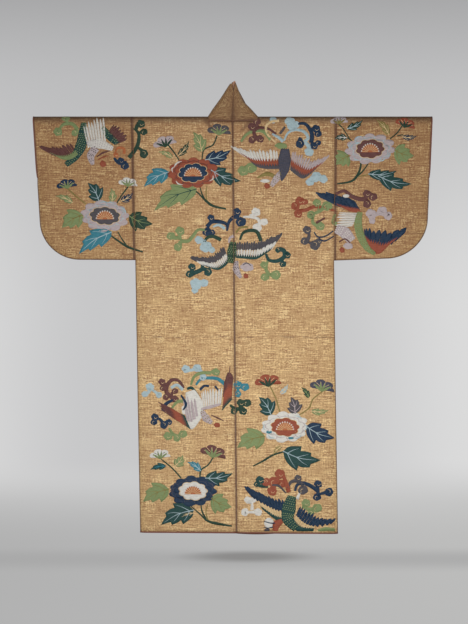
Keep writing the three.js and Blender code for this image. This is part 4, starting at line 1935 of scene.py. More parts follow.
@dataclass(frozen=True)
class Bud:
    """A half-open flower with its calyx, opening in the direction of aim (degrees, rows down)."""

    silk: Silk
    centre: Point
    size: float
    aim: float
    calyx: Silk = Silk.GREEN
    breadth: float = 1.5

    def draw(self, draft: Draft) -> None:
        """Draws petals as a fan of lobes with fine lines between them, over a calyx of four sepals.

        Args:
            draft: The draft.
        """
        angle = math.radians(self.aim)
        (cx, cy), size = self.centre, self.size
        ax, ay = math.cos(angle), math.sin(angle)

        def at(forward: float, beside: float) -> Point:
            """Place in shares of the size, forward and beside."""
            return cx + size * (ax * forward - ay * beside), cy + size * (ay * forward + ax * beside)

        outline = []
        for k in range(43):
            t = math.pi * (k / 42 - 0.5) * 1.16
            lobe = 1 - 0.24 * (1 - abs(math.sin(3.5 * math.pi * k / 42)) ** 0.6)
            outline.append(at(math.cos(t) * lobe, self.breadth * math.sin(t) * lobe))
        draft.fill(self.silk, 1.0, outline)
        line = Silk.GREY if self.silk in (Silk.WHITE, Silk.LILAC) else Silk.CREAM
        for k in range(1, 7):
            t = math.pi * (k / 7 - 0.5) * 1.16
            start, end = (at(math.cos(t) * r, self.breadth * math.sin(t) * r) for r in (0.25, 0.72))
            draft.ribbon(line, 1.6, [start, end], (0.3, 0.55))
        for spread, reach in ((-1.2, 1.0), (-0.42, 0.66), (0.42, 0.66), (1.2, 1.0)):
            tip = at(math.cos(spread) * reach, math.sin(spread) * reach * 1.1)
            bend = at(math.cos(spread) * reach * 0.3 - 0.1, math.sin(spread) * reach * 0.6)
            draft.ribbon(self.calyx, 2.0, [at(-0.42, 0), bend, tip], (0.7, 0.3 * size, 0.2), 3)


@dataclass(frozen=True)
class Bloom:
    """An open peony: a scalloped skirt of petals, an inner ring and a heart of stamens."""

    centre: Point
    radii: Point
    petals: Silk
    ring: Silk
    line: Silk
    accent: Silk = Silk.WHITE
    seed: int = 1

    def draw(self, draft: Draft) -> None:
        """Draws the flower from its outer petals inwards.

        Args:
            draft: The draft.
        """
        rng = random.Random(self.seed)
        (cx, cy), (rx, ry) = self.centre, self.radii
        turn = rng.uniform(0, 3)

        def ring(silk: Silk, layer: float, share: float, lobes: int, depth: float, shift: float) -> None:
            """Fills a scalloped ring down to the middle."""
            draft.disc(silk, layer, (cx, cy), (rx * share, ry * share * 0.95), lobes, depth, turn + shift)

        def spot(angle: float, reach: float) -> Point:
            """Place on the flower at an angle and a share of its radii."""
            return cx + rx * reach * math.cos(angle), cy + ry * reach * math.sin(angle)

        ring(self.petals, 1.0, 0.97, 11, 0.24, 0)
        for k in range(11):
            angle = (2 * math.pi * k - 2 * turn) / 11
            fold = [spot(angle + 0.05, 0.62), spot(angle, 0.7), spot(angle - 0.03, 0.79)]
            draft.ribbon(self.line, 1.3, fold, (0.4, 1.0, 0.2), 3)
        ring(self.line, 1.5, 0.745, 9, 0.2, 1.3)
        ring(self.petals, 1.7, 0.715, 9, 0.2, 1.3)
        for _ in range(5):
            angle = rng.uniform(0, 6.28)
            bend = [spot(angle + d, r) for r, d in ((0.78, -0.24), (0.84, 0), (0.79, 0.22))]
            draft.ribbon(self.accent, 1.9, bend, (0.3, 1.4, 0.3), 3)
        ring(Silk.CREAM, 2.2, 0.6, 9, 0.2, 0.4)
        ring(self.ring, 2.5, 0.57, 9, 0.2, 0.4)
        foot = cy + 0.2 * ry
        turns = (math.pi * k / 16 for k in range(17))
        draft.fill(Silk.ORANGE, 3.0, [(cx + 0.34 * rx * math.cos(a), foot - 0.5 * ry * math.sin(a)) for a in turns])
        for k in range(11):
            angle = math.pi * (k + 0.5) / 11
            c, d = math.cos(angle), math.sin(angle)
            tip = (cx + 0.33 * rx * c, foot - 0.5 * ry * d)
            root = (cx + 0.1 * rx * c, foot - 0.12 * ry * d)
            draft.ribbon(Silk.CREAM, 3.4, [root, tip], (0.3, 0.6))
            draft.disc(Silk.WHITE, 3.7, tip, (0.75, 0.75))


# Clouds without hooks in their knobs, and how far a knob reaches for its neighbour
KNOB_REACH = 14
PLAIN_CLOUDS = (Silk.WHITE, Silk.PALE, Silk.LILAC, Silk.CREAM)


@dataclass(frozen=True)
class Cloud:
    """A scrolling tail feather or cloud: curling strokes that end in scalloped knobs (column, row and size)."""

    silk: Silk
    strokes: tuple[tuple[float, ...], ...]
    knobs: tuple[float, ...]
    width: float = 2.6
    layer: float = 0.0

    def draw(self, draft: Draft) -> None:
        """Draws the strokes, the knobs and the short curls that join each knob to the nearest stroke or knob.

        Args:
            draft: The draft.
        """
        width = self.width * 1.25
        reached: list[Point] = []
        for points in map(grouped, self.strokes):
            draft.ribbon(self.silk, self.layer, points, (width * 0.6, width, width * 1.1))
            reached += through(points)
        for k, (x, y, size) in enumerate(grouped(self.knobs, 3)):
            size *= 1.1
            near = min(reached, key=lambda point: math.dist(point, (x, y)), default=(x, y))
            if 0.5 < math.dist(near, (x, y)) < KNOB_REACH:
                bend = ((near[0] + x) / 2 + 0.2 * (y - near[1]), (near[1] + y) / 2 - 0.2 * (x - near[0]))
                draft.ribbon(self.silk, self.layer, [near, bend, (x, y)], (width, size * 0.9, size), 4)
            draft.disc(self.silk, self.layer, (x, y), (size, size * 0.94), 5, 0.16, 0.7 * k)
            if self.silk not in PLAIN_CLOUDS:
                curl = []
                for step in range(4):
                    angle, reach = 2.1 * k + 0.9 * step, size * (0.6 - 0.14 * step)
                    curl.append((x + reach * math.cos(angle), y + reach * math.sin(angle)))
                draft.ribbon(Silk.CREAM, self.layer + 0.4, curl, (0.2, 0.44, 0.26), 2)
            reached.append((x, y))


@dataclass(frozen=True)
class Wing:
    """A wing: bands of coverts and long feathers that rise from a curved leading edge."""

    spine: tuple[float, ...]
    aims: tuple[float, float]
    lengths: tuple[float, ...]
    bands: tuple[tuple[Silk, float, float, int], ...]
    layer: float = 1.0

    def draw(self, draft: Draft) -> None:
        """Draws each band, solid with a toothed rim where it has no count of feathers.

        Args:
            draft: The draft.
        """
        line = through(grouped(self.spine), 6)
        last = len(line) - 1

        def at(t: float, share: float) -> Point:
            """Place at a share along the spine and a share of the feathers' length.

            Args:
                t: The share.
                share: Share of the way.

            Returns:
                The place.
            """
            where = clamp(t) * last
            k = min(int(where), last - 1)
            x, y = (mix(line[k][i], line[k + 1][i], where - k) for i in (0, 1))
            angle = math.radians(mix(*self.aims, t ** 1.5))
            reach = along(self.lengths, t) * share
            return x + math.cos(angle) * reach, y + math.sin(angle) * reach

        for order, (silk, start, end, feathers) in enumerate(self.bands):
            layer = self.layer + 0.4 * order
            if feathers == 0:
                low = [at(k / 24, start) for k in range(25)]
                rim = []
                for k in range(16, 0, -1):
                    rim.append(at(k / 16, end - 0.04))
                    rim.append(at((k - 0.5) / 16, end + 0.13))
                draft.fill(silk, layer, low + rim + [at(0, end)])
                continue
            for k in range(feathers):
                t = (k + 0.5) / feathers
                tip = end * (0.95 + 0.05 * ((k * 7) % 3 - 1))
                a, b = at(t - 0.5 / feathers, end), at(t + 0.5 / feathers, end)
                c, d = at(t - 0.5 / feathers, start), at(t + 0.5 / feathers, start)
                outer = max(0.8, math.hypot(a[0] - b[0], a[1] - b[1]))
                inner = max(0.8, math.hypot(c[0] - d[0], c[1] - d[1]))
                full = 0.78 if silk in PLAIN_CLOUDS else 0.93
                points = [at(t, mix(start, tip, share)) for share in (0.0, 0.4, 0.75, 1.0)]
                draft.ribbon(silk, layer, points, (inner * full, (inner + outer) * full / 2, outer * full, 0.7), 3)


@dataclass(frozen=True)
class Scales:
    """A scaled body or striped neck along a smooth line."""

    silk: Silk
    scale: Silk
    line: tuple[float, ...]
    widths: tuple[float, ...]
    layer: float = 2.6
    pitch: float = 2.1

    def draw(self, draft: Draft) -> None:
        """Draws the body and rows of scales on it.

        Args:
            draft: The draft.
        """
        points = grouped(self.line)
        draft.ribbon(self.silk, self.layer, points, self.widths)
        line = through(points, 6)
        length = sum(math.dist(a, b) for a, b in zip(line, line[1:]))
        rows = max(2, int(length / self.pitch))
        last = len(line) - 1
        for row in range(rows):
            t = (row + 0.5) / rows
            k = min(int(t * last), last - 1)
            (x, y), (nx, ny) = line[k], line[k + 1]
            size = math.dist(line[k], line[k + 1]) or 1
            ux, uy = (nx - x) / size, (ny - y) / size
            wide = along(self.widths, t)
            count = max(1, int(wide / self.pitch))
            for c in range(count):
                off = (c + 0.5 - count / 2 + (0.25 if row % 2 else -0.25)) * self.pitch
                draft.disc(self.scale, self.layer + 0.6, (x - uy * off, y + ux * off), (0.55, 0.55))


class Part(Protocol):
    """A part of a woven design."""

    def draw(self, draft: Draft) -> None:
        """Draws the part in the weaver's draft."""


@dataclass(frozen=True)
class Motif:
    """One woven design: its parts, and the origin from which they lie on the robe's back."""

    origin: Point
    parts: tuple[Part, ...]

    def draw(self) -> list[Patch]:
        """Patches of all its parts.

        Returns:
            The patches, lowest part first.
        """
        draft = Draft(self.origin)
        for part in self.parts:
            part.draw(draft)
        return draft.patches


S = Silk

PEONY_LEFT_BACK = Motif((144, 132), (
    Leaf(S.DEEP_GREEN, (34, 24), (45, 9), 7), Leaf(S.GREEN, (29, 26), (14, 20), 6, 1),
    Leaf(S.GREEN, (58, 20), (49, 0), 10, 3), Leaf(S.NAVY, (61, 28), (87, 18), 11, 3, S.PALE),
    Leaf(S.TURQUOISE, (25, 40), (0, 55), 12, 3, S.PALE), Leaf(S.TEAL, (67, 38), (97, 49), 13, 3, S.PALE),
    Leaf(S.GREEN, (53, 57), (10, 79), 16, 3, S.TEAL), Stem(S.DEEP_GREEN, (24, 13, 29, 19, 35, 28)),
    Stem(S.DEEP_GREEN, (73, 4, 69, 13, 60, 18, 58, 28)),
    Stem(S.DEEP_GREEN, (46, 54, 55, 62, 61, 68, 69, 74, 82, 77), (1.2, 1.6, 2.8, 1.6)),
    Stem(S.DEEP_GREEN, (56, 55, 58, 62, 62, 70), (1, 1.8)), Stem(S.OLIVE, (63, 54, 62, 62, 63, 69), (0.8, 1.2)),
    Bud(S.LILAC, (21, 12), 8, -105, S.DEEP_GREEN), Bud(S.GREY, (75, 0), 8, -88, S.GREEN),
    Bloom((49, 41), (26, 17.5), S.RUST, S.NAVY, S.PLUM, S.WHITE, 3),
))

PEONY_LEFT_SLEEVE = Motif((55, 183), (
    Leaf(S.GREEN, (18, 20), (0, 13), 7), Leaf(S.GREEN, (28, 32), (7, 45), 15, 3, S.OLIVE),
    Leaf(S.TEAL, (44, 18), (33, 0), 12, 3, S.PALE), Leaf(S.GREEN, (57, 19), (56, 5), 8),
    Leaf(S.NAVY, (66, 18), (78, 10), 8), Leaf(S.TURQUOISE, (57, 49), (24, 71), 14, 3, S.PALE),
    Leaf(S.DEEP_GREEN, (74, 33), (98, 41), 14, 3, S.GREEN), Stem(S.OLIVE, (13, 6, 22, 14, 31, 21)),
    Stem(S.DEEP_GREEN, (73, 4, 67, 12, 62, 20)),
    Stem(S.DEEP_GREEN, (51, 49, 62, 57, 73, 64, 88, 69), (1, 1.8, 2.4, 1.4)),
    Stem(S.DEEP_GREEN, (63, 49, 67, 56, 72, 63), (0.9, 1.6)), Bud(S.NAVY, (12, 3), 7, -100, S.GREEN),
    Bud(S.WHITE, (73, 1), 6.5, -85, S.GREEN), Bloom((50, 33), (26, 17), S.LILAC, S.GREY, S.PALE, S.PALE, 5),
))

PEONY_RIGHT_SLEEVE = Motif((334, 120), (
    Leaf(S.DEEP_GREEN, (13, 9), (29, 0), 8, 1, S.PALE), Leaf(S.OLIVE, (55, 15), (42, 0), 8),
    Leaf(S.NAVY, (68, 17), (83, 16), 6), Leaf(S.GREEN, (60, 30), (80, 36), 15, 3, S.OLIVE),
    Leaf(S.GREEN, (15, 36), (2, 45), 14, 3, S.OLIVE), Leaf(S.TEAL, (34, 54), (63, 51), 11, 1, S.PALE),
    Leaf(S.TEAL, (44, 56), (78, 64), 12, 3, S.PALE), Leaf(S.DEEP_GREEN, (13, 18), (0, 19), 7, 1, S.WHITE),
    Stem(S.DEEP_GREEN, (16, 20, 9, 9, 2, 2), (1, 1.2)), Stem(S.DEEP_GREEN, (56, 19, 63, 13, 68, 6), (1.2, 1.1)),
    Stem(S.DEEP_GREEN, (63, 16, 69, 15), (1, 1)), Stem(S.DEEP_GREEN, (13, 18, 18, 21), (1, 1.2)),
    Stem(S.DEEP_GREEN, (3, 64, 18, 61, 25, 52, 27, 43), (1.2, 2.6, 1.6)),
    Stem(S.DEEP_GREEN, (21, 58, 28, 52, 34, 44), (2, 1)), Stem(S.OLIVE, (24, 57, 33, 55, 38, 55), (1.2, 1)),
    Bud(S.RUST, (71, 5), 7, -75, S.DEEP_GREEN), Bud(S.LILAC, (5, 2), 6, -95, S.OLIVE),
    Bloom((36, 29), (26, 17), S.LILAC, S.PLUM, S.PALE, S.PALE, 7),
))

PEONY_LOW_RIGHT = Motif((237, 383), (
    Leaf(S.PALE, (43, 11), (51, 1), 5), Leaf(S.TEAL, (34, 32), (22, 14), 13, 3, S.PALE),
    Leaf(S.GREY, (58, 31), (54, 14), 11, 3, S.LILAC), Leaf(S.DEEP_GREEN, (72, 15), (64, 4), 6, 1, S.GREEN),
    Leaf(S.GREEN, (74, 28), (92, 27), 7), Leaf(S.NAVY, (69, 43), (98, 55), 15, 3, S.PALE),
    Leaf(S.GREEN, (28, 53), (0, 65), 16, 3, S.OLIVE), Leaf(S.TEAL, (46, 68), (84, 77), 17, 3, S.PALE),
    Leaf(S.OLIVE, (45, 63), (36, 72), 5), Stem(S.OLIVE, (33, 3, 39, 16, 43, 30), (1.2, 1.2)),
    Stem(S.OLIVE, (86, 8, 76, 16, 72, 25, 62, 32), (1.2, 1.4, 1.2)),
    Stem(S.DEEP_GREEN, (49, 68, 36, 72, 26, 78, 16, 83), (1.6, 2.2, 1.2)), Bud(S.RUST, (31, 0), 9, -95, S.DEEP_GREEN),
    Bud(S.INDIGO, (85, 5), 8.5, -80, S.GREEN), Bloom((48, 44), (26, 16.5), S.WHITE, S.RUST, S.LILAC, S.PALE, 9),
    Disc(S.TURQUOISE, (32, 49), (3, 1.6)), Disc(S.TURQUOISE, (54, 55), (3, 1.2)),
))

PEONY_LOW_LEFT = Motif((143, 454), (
    Leaf(S.TEAL, (23, 12), (7, 16), 7, 1, S.TURQUOISE), Leaf(S.GREEN, (32, 12), (40, 1), 8, 3),
    Leaf(S.TURQUOISE, (58, 17), (44, 8), 8, 1, S.PALE), Leaf(S.TEAL, (62, 24), (90, 19), 11, 3, S.PALE),
    Leaf(S.GREEN, (26, 35), (0, 48), 15, 3, S.OLIVE), Leaf(S.GREEN, (68, 44), (89, 53), 15, 3, S.OLIVE),
    Leaf(S.TEAL, (51, 56), (18, 71), 16, 3, S.PALE), Leaf(S.OLIVE, (51, 59), (37, 64), 5),
    Stem(S.DEEP_GREEN, (18, 5, 29, 14, 38, 24), (1.1, 1.6)),
    Stem(S.DEEP_GREEN, (71, 2, 65, 11, 58, 16, 57, 24), (1.3, 1.7)),
    Stem(S.DEEP_GREEN, (48, 52, 57, 60, 65, 67, 77, 70, 89, 72), (1, 1.6, 3, 1.4)),
    Stem(S.DEEP_GREEN, (58, 50, 59, 57, 63, 65), (1, 2)), Stem(S.OLIVE, (65, 50, 63, 58, 65, 66), (0.8, 1.2)),
    Bud(S.WHITE, (17, 2), 7, -95, S.GREEN), Bud(S.PLUM, (70, 0), 9, -78, S.GREEN),
    Bloom((50, 37), (26, 16.5), S.NAVY, S.WHITE, S.INDIGO, S.INDIGO, 11),
))

PHOENIX_RIGHT_BACK = Motif((241, 120), (
    Cloud(S.PLUM, ((35, 14, 27, 9, 18, 8, 13, 12, 15, 18),), (11, 7, 4, 16, 2, 3.6, 11, 20, 3.6, 19, 19, 3.8)),
    Cloud(S.GREEN, ((0, 22, 5, 15, 14, 11, 23, 12, 30, 20),), (2, 51, 5, 10, 48, 5.4), 2.8),
    Cloud(S.CREAM, ((35, 23, 27, 15, 25, 7, 30, 2, 38, 1),), (), 2),
    Cloud(S.PALE, ((31, 14, 38, 18, 42, 22), (43, 21, 47, 13, 55, 10, 63, 12, 67, 18, 63, 22)), (49, 2, 5, 54, 5, 4,
        32, 0, 3.4, 68, 32, 4.4, 69, 62, 4, 75, 57, 5, 82, 59, 4.2), 2.4),
    Cloud(S.NAVY, ((57, 4, 64, 4, 69, 10, 71, 16, 70, 23), (62, 26, 58, 23, 60, 18), (70, 22, 73, 26)), (75, 9, 4, 77,
        14, 3.4, 59, 24, 4.2, 73, 26, 3.6, 77, 23, 2.8), 3.2), Stem(S.GREY, (39, 14, 44, 7), (2.6, 2.2)),
    Disc(S.GREEN, (40, 26), (6.5, 3.2), 5, 2.2),
    Wing((38, 49, 25, 49, 15, 46.5, 6, 38), (-95, -146), (20, 20, 21), ((S.WHITE, 0.38, 1, 15), (S.RUST, 0.14, 0.42,
        0), (S.GREY, 0, 0.17, 0))),
    Wing((49, 50, 55, 55, 63, 58.5, 75, 49), (-84, -44), (20, 22, 20), ((S.LILAC, 0.4, 1, 15), (S.RUST, 0.15, 0.45, 0),
        (S.GREY, 0, 0.18, 0))), Scales(S.INDIGO, S.GREY, (44, 29, 43.5, 40, 43, 50, 40.5, 61), (8, 13, 10, 1.2)),
    Scales(S.LILAC, S.OLIVE, (40, 51, 36, 58, 30, 66), (3, 7, 4), 2.2),
    Stem(S.OLIVE, (34, 57, 26, 54, 16, 58), (3.6, 4.4, 1), 2), Disc(S.WHITE, (24, 61), (5, 1.8)),
    Disc(S.RUST, (26, 66), (3, 3), 5),
))

PHOENIX_CENTRE = Motif((171, 212), (
    Cloud(S.GREEN, ((34, 18, 27, 18, 22, 24, 17, 29, 9, 29), (9, 19, 9, 28)), (9, 19, 4.4, 0, 24, 4, 7, 35, 4), 2.8),
    Cloud(S.GREEN, ((97, 48, 95, 57, 99, 64),), (93, 53, 3.6, 94, 65, 4, 105, 63, 4.6), 2.8),
    Cloud(S.NAVY, ((56, 19, 56, 13, 50, 10, 41, 10, 36, 15), (56, 18, 58, 10, 63, 5, 68, 6)), (40, 6, 3.4, 36, 20, 4.2,
        41, 21, 3.2, 66, 0, 4, 70, 10, 4.8), 3),
    Cloud(S.WHITE, ((72, 5, 79, 5, 87, 7, 89, 13), (85, 1, 79, 4)), (85, 0, 4.2, 93, 10, 3.6, 86, 16, 4.6), 2.4),
    Cloud(S.PALE, ((42, 15, 48, 13, 54, 17),), (28, 28, 4, 35, 35, 5.6, 41, 38, 3, 25, 72, 5.6, 33, 71, 4, 24, 78,
        3.4), 2.4),
    Cloud(S.DEEP_GREEN, ((33, 31, 36, 26, 42, 24.5, 50, 28), (69, 28, 72, 21, 79, 18.5, 86, 20, 90, 29)), (), 2.8),
    Cloud(S.TEAL, ((31, 50, 31, 57, 23, 61), (95, 42, 98, 48, 106, 49, 113, 45, 113, 39, 108, 37)), (21, 55, 3.6, 19,
        62, 3.8, 37, 60, 4, 116, 43, 3.6, 112, 52, 3.2, 107, 38, 2.8), 3.4),
    Stem(S.OLIVE, (65, 21, 69, 16, 77, 15), (2, 2)), Stem(S.LILAC, (58, 31, 59, 26, 63, 24), (2, 3)),
    Wing((65, 46, 76, 47, 86, 47, 99, 39), (-92, -54), (16, 19, 23), ((S.GREY, 0.5, 1, 18), (S.WHITE, 0.14, 0.56, 14),
        (S.TEAL, 0, 0.15, 0))),
    Wing((58, 50, 52, 56, 45, 58, 34, 54), (-108, -152), (18, 17, 20), ((S.GREY, 0.5, 1, 16), (S.WHITE, 0.14, 0.56,
        14), (S.TEAL, 0, 0.15, 0))), Scales(S.DEEP_GREEN, S.GREEN, (62, 30, 61, 40, 59.5, 51), (6, 10, 6)),
    Scales(S.LILAC, S.GREY, (66, 49, 65, 57, 70, 66), (3, 7, 3), 2.2), Disc(S.LILAC, (76, 55), (7, 4.6), 5, 1.6),
    Stem(S.GREY, (72, 53, 76, 51, 80, 54), (1, 0.8), 2.6), Disc(S.RUST, (75, 64), (2.7, 2.7), 5),
))

PHOENIX_RIGHT_SEAM = Motif((295, 191), (
    Cloud(S.RUST, ((40, 20, 31, 17, 19, 16, 11, 19, 4, 20), (4, 12, 2, 21)), (5, 10, 4.4, 10, 11, 3, 0, 15, 4, 3, 23,
        4), 2.8),
    Cloud(S.GREEN, ((16, 23, 23, 21, 30, 16), (18, 26, 18, 32, 25, 36), (40, 23, 38, 31, 42, 33)), (22, 12, 4, 32, 15,
        5, 16, 24, 4, 25, 35, 4.4), 2.8),
    Cloud(S.GREY, ((13, 39, 14, 45, 12, 51), (13, 51, 19, 54)), (12, 39, 4, 10, 50, 4, 20, 54, 5, 24, 50, 3), 2.8),
    Cloud(S.PLUM, ((41, 3, 49, 0, 56, 5, 64, 8, 71, 8), (71, 8, 73, 12)), (72, 3, 4, 78, 6, 4, 72, 13, 4), 3.4),
    Cloud(S.LILAC, ((78, 25, 85, 22, 92, 24),), (76, 23, 5, 87, 20, 4.6, 93, 25, 4, 77, 30, 3), 4),
    Stem(S.PLUM, (21, 32, 30, 27), (2.6, 1.6)), Disc(S.WHITE, (51, 5), (3.4, 1.8), 0, 1),
    Stem(S.NAVY, (19, 41, 23, 46, 31, 45, 38, 40), (1.2, 1.6, 1.2)),
    Stem(S.NAVY, (24, 48, 30, 50, 39, 45), (1.2, 1.5, 1)),
    Wing((66, 21, 56, 20, 46, 16), (-124, -153), (15, 24, 33), ((S.NAVY, 0.1, 1, 8), (S.RUST, -0.05, 0.2, 0))),
    Wing((71, 51, 76, 59, 84, 63, 94, 54), (-100, -40), (15, 25, 26), ((S.NAVY, 0.3, 1, 9), (S.RUST, 0, 0.38, 0)),
        1.4), Wing((63, 22, 61, 28, 57, 35), (-178, -190), (21, 19, 17), ((S.WHITE, 0, 1, 7),), 1.6),
    Scales(S.GREEN, S.OLIVE, (65, 21, 63, 33, 66, 46, 72, 57, 80, 63), (5, 8, 8, 6, 3), 2.4),
    Scales(S.LILAC, S.WHITE, (41, 38, 50, 42, 57, 50), (8, 12, 8), 2),
    Stem(S.PLUM, (44, 51, 50, 48, 55, 52), (1.6, 1.2), 3.2), Disc(S.LILAC, (53, 55), (5, 3.4), 5, 2.4),
    Disc(S.RUST, (47, 59), (2.8, 2.8), 5),
))

PHOENIX_LEFT_SLEEVE = Motif((54, 118), (
    Scales(S.TEAL, S.GREEN, (30, 5, 29, 16, 27, 28, 21, 39, 12, 47), (5, 9, 11, 8, 5), 1.1),
    Scales(S.TEAL, S.GREEN, (49, 9, 54, 17, 64, 25), (3, 8, 5), 1.1),
    Cloud(S.GREEN, ((4, 15, 9, 7, 18, 6, 24, 12), (12, 2, 15, 7)), (4, 14, 4.2, 12, 0, 3.8, 21, 15, 3.4), 2.8),
    Cloud(S.DEEP_GREEN, ((80, 10, 85, 17, 83, 29, 75, 40), (85, 15, 91, 13), (83, 29, 90, 34)), (87, 6, 4, 90, 14, 3.4,
        90, 36, 4.2), 3), Cloud(S.ORANGE, ((61, 35, 64, 30, 70, 31, 70, 36),), (62, 37, 2.6), 2.2),
    Cloud(S.NAVY, ((60, 40, 65, 45, 73, 45),), (67, 43, 3.4, 71, 48, 3.8), 3),
    Wing((24, 36, 16, 41, 8, 41, 0, 37), (-124, -152), (14, 18, 20), ((S.PLUM, 0.2, 1, 10), (S.GREEN, -0.05, 0.22, 0)),
        1), Wing((34, 30, 40, 29, 46, 26, 52, 23), (-103, -94), (24, 27, 25), ((S.WHITE, 0, 1, 8),), 1.4),
    Wing((51, 18, 55, 23, 61, 27), (-52, -22), (16, 18, 15), ((S.PLUM, 0.25, 1, 7), (S.TEAL, 0, 0.3, 0)), 1.2),
    Scales(S.WHITE, S.LILAC, (34, 26, 46, 26, 59, 31), (5, 10, 4), 2.4),
    Scales(S.LILAC, S.GREY, (42, 30, 37, 38, 39, 47), (8, 8, 3), 2.2),
    Stem(S.PLUM, (43, 39, 49, 35, 56, 33), (1, 2, 0.8), 3), Stem(S.RUST, (44, 42, 50, 39, 55, 38), (1, 1.6, 0.6), 3),
    Disc(S.RUST, (49, 46), (3.4, 3.4), 5),
))

PHOENIX_LOW_LEFT = Motif((145, 368), (
    Cloud(S.PALE, ((41, 3, 47, 2, 52, 1), (5, 20, 13, 26)), (41, 1, 4, 52, 0, 4, 58, 9, 3.4, 5, 19, 4, 0, 26, 3.2, 14,
        27, 3), 2.4),
    Cloud(S.PLUM, ((39, 20, 34, 13, 27, 12, 22, 18, 22, 25, 29, 31),), (17, 14, 3.5, 18, 20, 3, 21, 29, 3.2, 30, 31,
        3.6, 30, 23, 3), 3.2),
    Cloud(S.NAVY, ((28, 32, 21, 36, 18, 43), (14, 50, 19, 56)), (10, 49, 3.6, 9, 54, 3.2, 19, 57, 3.8, 24, 54, 3), 3),
    Cloud(S.GREEN, ((24, 60, 28, 66, 34, 69), (46, 17, 49, 9, 56, 5, 66, 5), (27, 40, 32, 34, 38, 33)), (23, 68, 4.2,
        38, 66, 4, 32, 70, 3.6, 71, 4, 3.8), 2.6),
    Cloud(S.TURQUOISE, ((51, 17, 56, 11, 64, 10, 73, 11, 81, 17, 87, 21), (93, 20, 93, 25)), (93, 17, 4.2, 100, 19, 4,
        93, 26, 3.2), 2.8),
    Cloud(S.DEEP_GREEN, ((85, 37, 91, 41, 98, 40),), (96, 35, 4, 102, 35, 4, 89, 43, 3.4, 98, 43, 4), 3),
    Stem(S.PALE, (26, 20, 32, 17, 38, 22), (3, 3)), Stem(S.TEAL, (42, 21, 47, 20, 54, 28), (2.4, 3, 1)),
    Stem(S.NAVY, (55, 22, 59, 18, 64, 18), (2.6, 2.4)), Stem(S.NAVY, (70, 18, 74, 23), (2.6, 1)),
    Stem(S.NAVY, (36, 27, 41, 36, 38, 42), (1.6, 2.8, 1.2), 3), Disc(S.WHITE, (40, 42), (3.6, 5), 4, 1.2),
    Wing((45, 61, 42, 54, 39, 47), (-147, -153), (38, 32, 31), ((S.PLUM, 0.35, 1, 5), (S.RUST, 0.04, 0.45, 0), (S.TEAL,
        -0.03, 0.07, 0)), 1.4),
    Wing((77, 42, 82, 36, 87, 31), (-83, -90), (34, 38, 24), ((S.PLUM, 0.35, 1, 5), (S.RUST, 0.04, 0.46, 0), (S.TEAL,
        -0.03, 0.06, 0)), 1.4), Stem(S.WHITE, (45, 23, 49, 36, 49, 48, 46, 61), (9, 18, 16, 3), 2.2),
    Wing((42, 54, 47, 56, 53, 49), (-101, -97), (26, 29, 20), ((S.LILAC, 0.08, 0.96, 5),), 2.4),
    Wing((58, 41, 66, 40, 76, 37), (-97, -84), (18, 20, 17), ((S.WHITE, 0, 1, 9),), 1.8),
    Stem(S.LILAC, (56, 41, 65, 39, 76, 36), (2, 3.4, 2), 3),
    Scales(S.LILAC, S.OLIVE, (57, 43, 61, 50, 67, 55), (4, 8, 3), 2.2),
    Stem(S.PLUM, (66, 47, 73, 50, 79, 53), (0.8, 1.6, 0.6), 3), Disc(S.RUST, (72, 57), (3.4, 2.5), 5),
))

PHOENIX_LOW_RIGHT = Motif((245, 474), (
    Cloud(S.RUST, ((38, 0, 41, 9, 44, 18), (23, 8, 31, 8, 39, 8)), (35, 0, 5, 29, 8, 5.6, 21, 8, 4, 27, 17, 4.6, 37,
        10, 4), 3.4), Cloud(S.TEAL, ((11, 11, 17, 12, 23, 12),), (15, 6, 4, 12, 10, 3, 19, 8, 3), 2.8),
    Cloud(S.GREY, ((43, 14, 46, 8, 53, 7, 59, 12),), (53, 4, 3.4, 58, 16, 4.6), 3),
    Cloud(S.NAVY, ((50, 17, 52, 11, 58, 9, 66, 12, 73, 17), (73, 12, 73, 21), (75, 20, 82, 18)), (73, 10, 3.8, 72, 23,
        3.8, 84, 18, 4.2), 3),
    Cloud(S.WHITE, ((7, 28, 7, 36), (1, 38, 13, 38), (55, 18, 52, 25)), (3, 26, 3.6, 8, 26, 3, 0, 38, 3.8, 13, 38,
        3.8), 2.6), Cloud(S.GREEN, ((57, 32, 63, 35, 69, 35),), (61, 29, 4.2, 72, 34, 4.6, 66, 39, 3.4), 3),
    Stem(S.GREEN, (73, 57, 81, 55, 90, 56), (3, 4, 3)), Stem(S.GREY, (27, 11, 34, 12, 41, 19), (1.4, 2.6, 1.2), 1),
    Wing((44, 38, 32, 36, 20, 30, 7, 22), (-106, -130), (13, 14, 15), ((S.NAVY, 0, 1, 13),), 1.6),
    Wing((41, 46, 30, 43, 16, 33), (-98, -118), (10, 10, 7), ((S.CREAM, 0, 1, 10), (S.TEAL, -0.3, 0.16, 0)), 1),
    Wing((51, 41, 58, 48, 69, 52, 86, 49), (-66, -38), (11, 13, 7), ((S.NAVY, 0, 1, 12),), 1.6),
    Wing((48, 47, 56, 54, 69, 55), (-62, -74), (11, 9, 6), ((S.CREAM, 0, 1, 11), (S.TEAL, -0.5, 0.12, 0)), 1),
    Scales(S.TEAL, S.GREEN, (47, 22, 44, 34, 43, 45, 51, 55), (8, 14, 12, 6)),
    Stem(S.RUST, (39, 46, 32, 50, 30, 57), (3, 8, 5), 2), Disc(S.WHITE, (24, 49), (5, 5.4), 0, 1.6),
    Stem(S.NAVY, (19, 47, 25, 49, 30, 49), (0.8, 1.3), 2.6), Stem(S.NAVY, (19, 53, 23, 54, 28, 53), (0.8, 1.2), 2.6),
    Disc(S.GREY, (22, 56), (3, 1.8)),
))

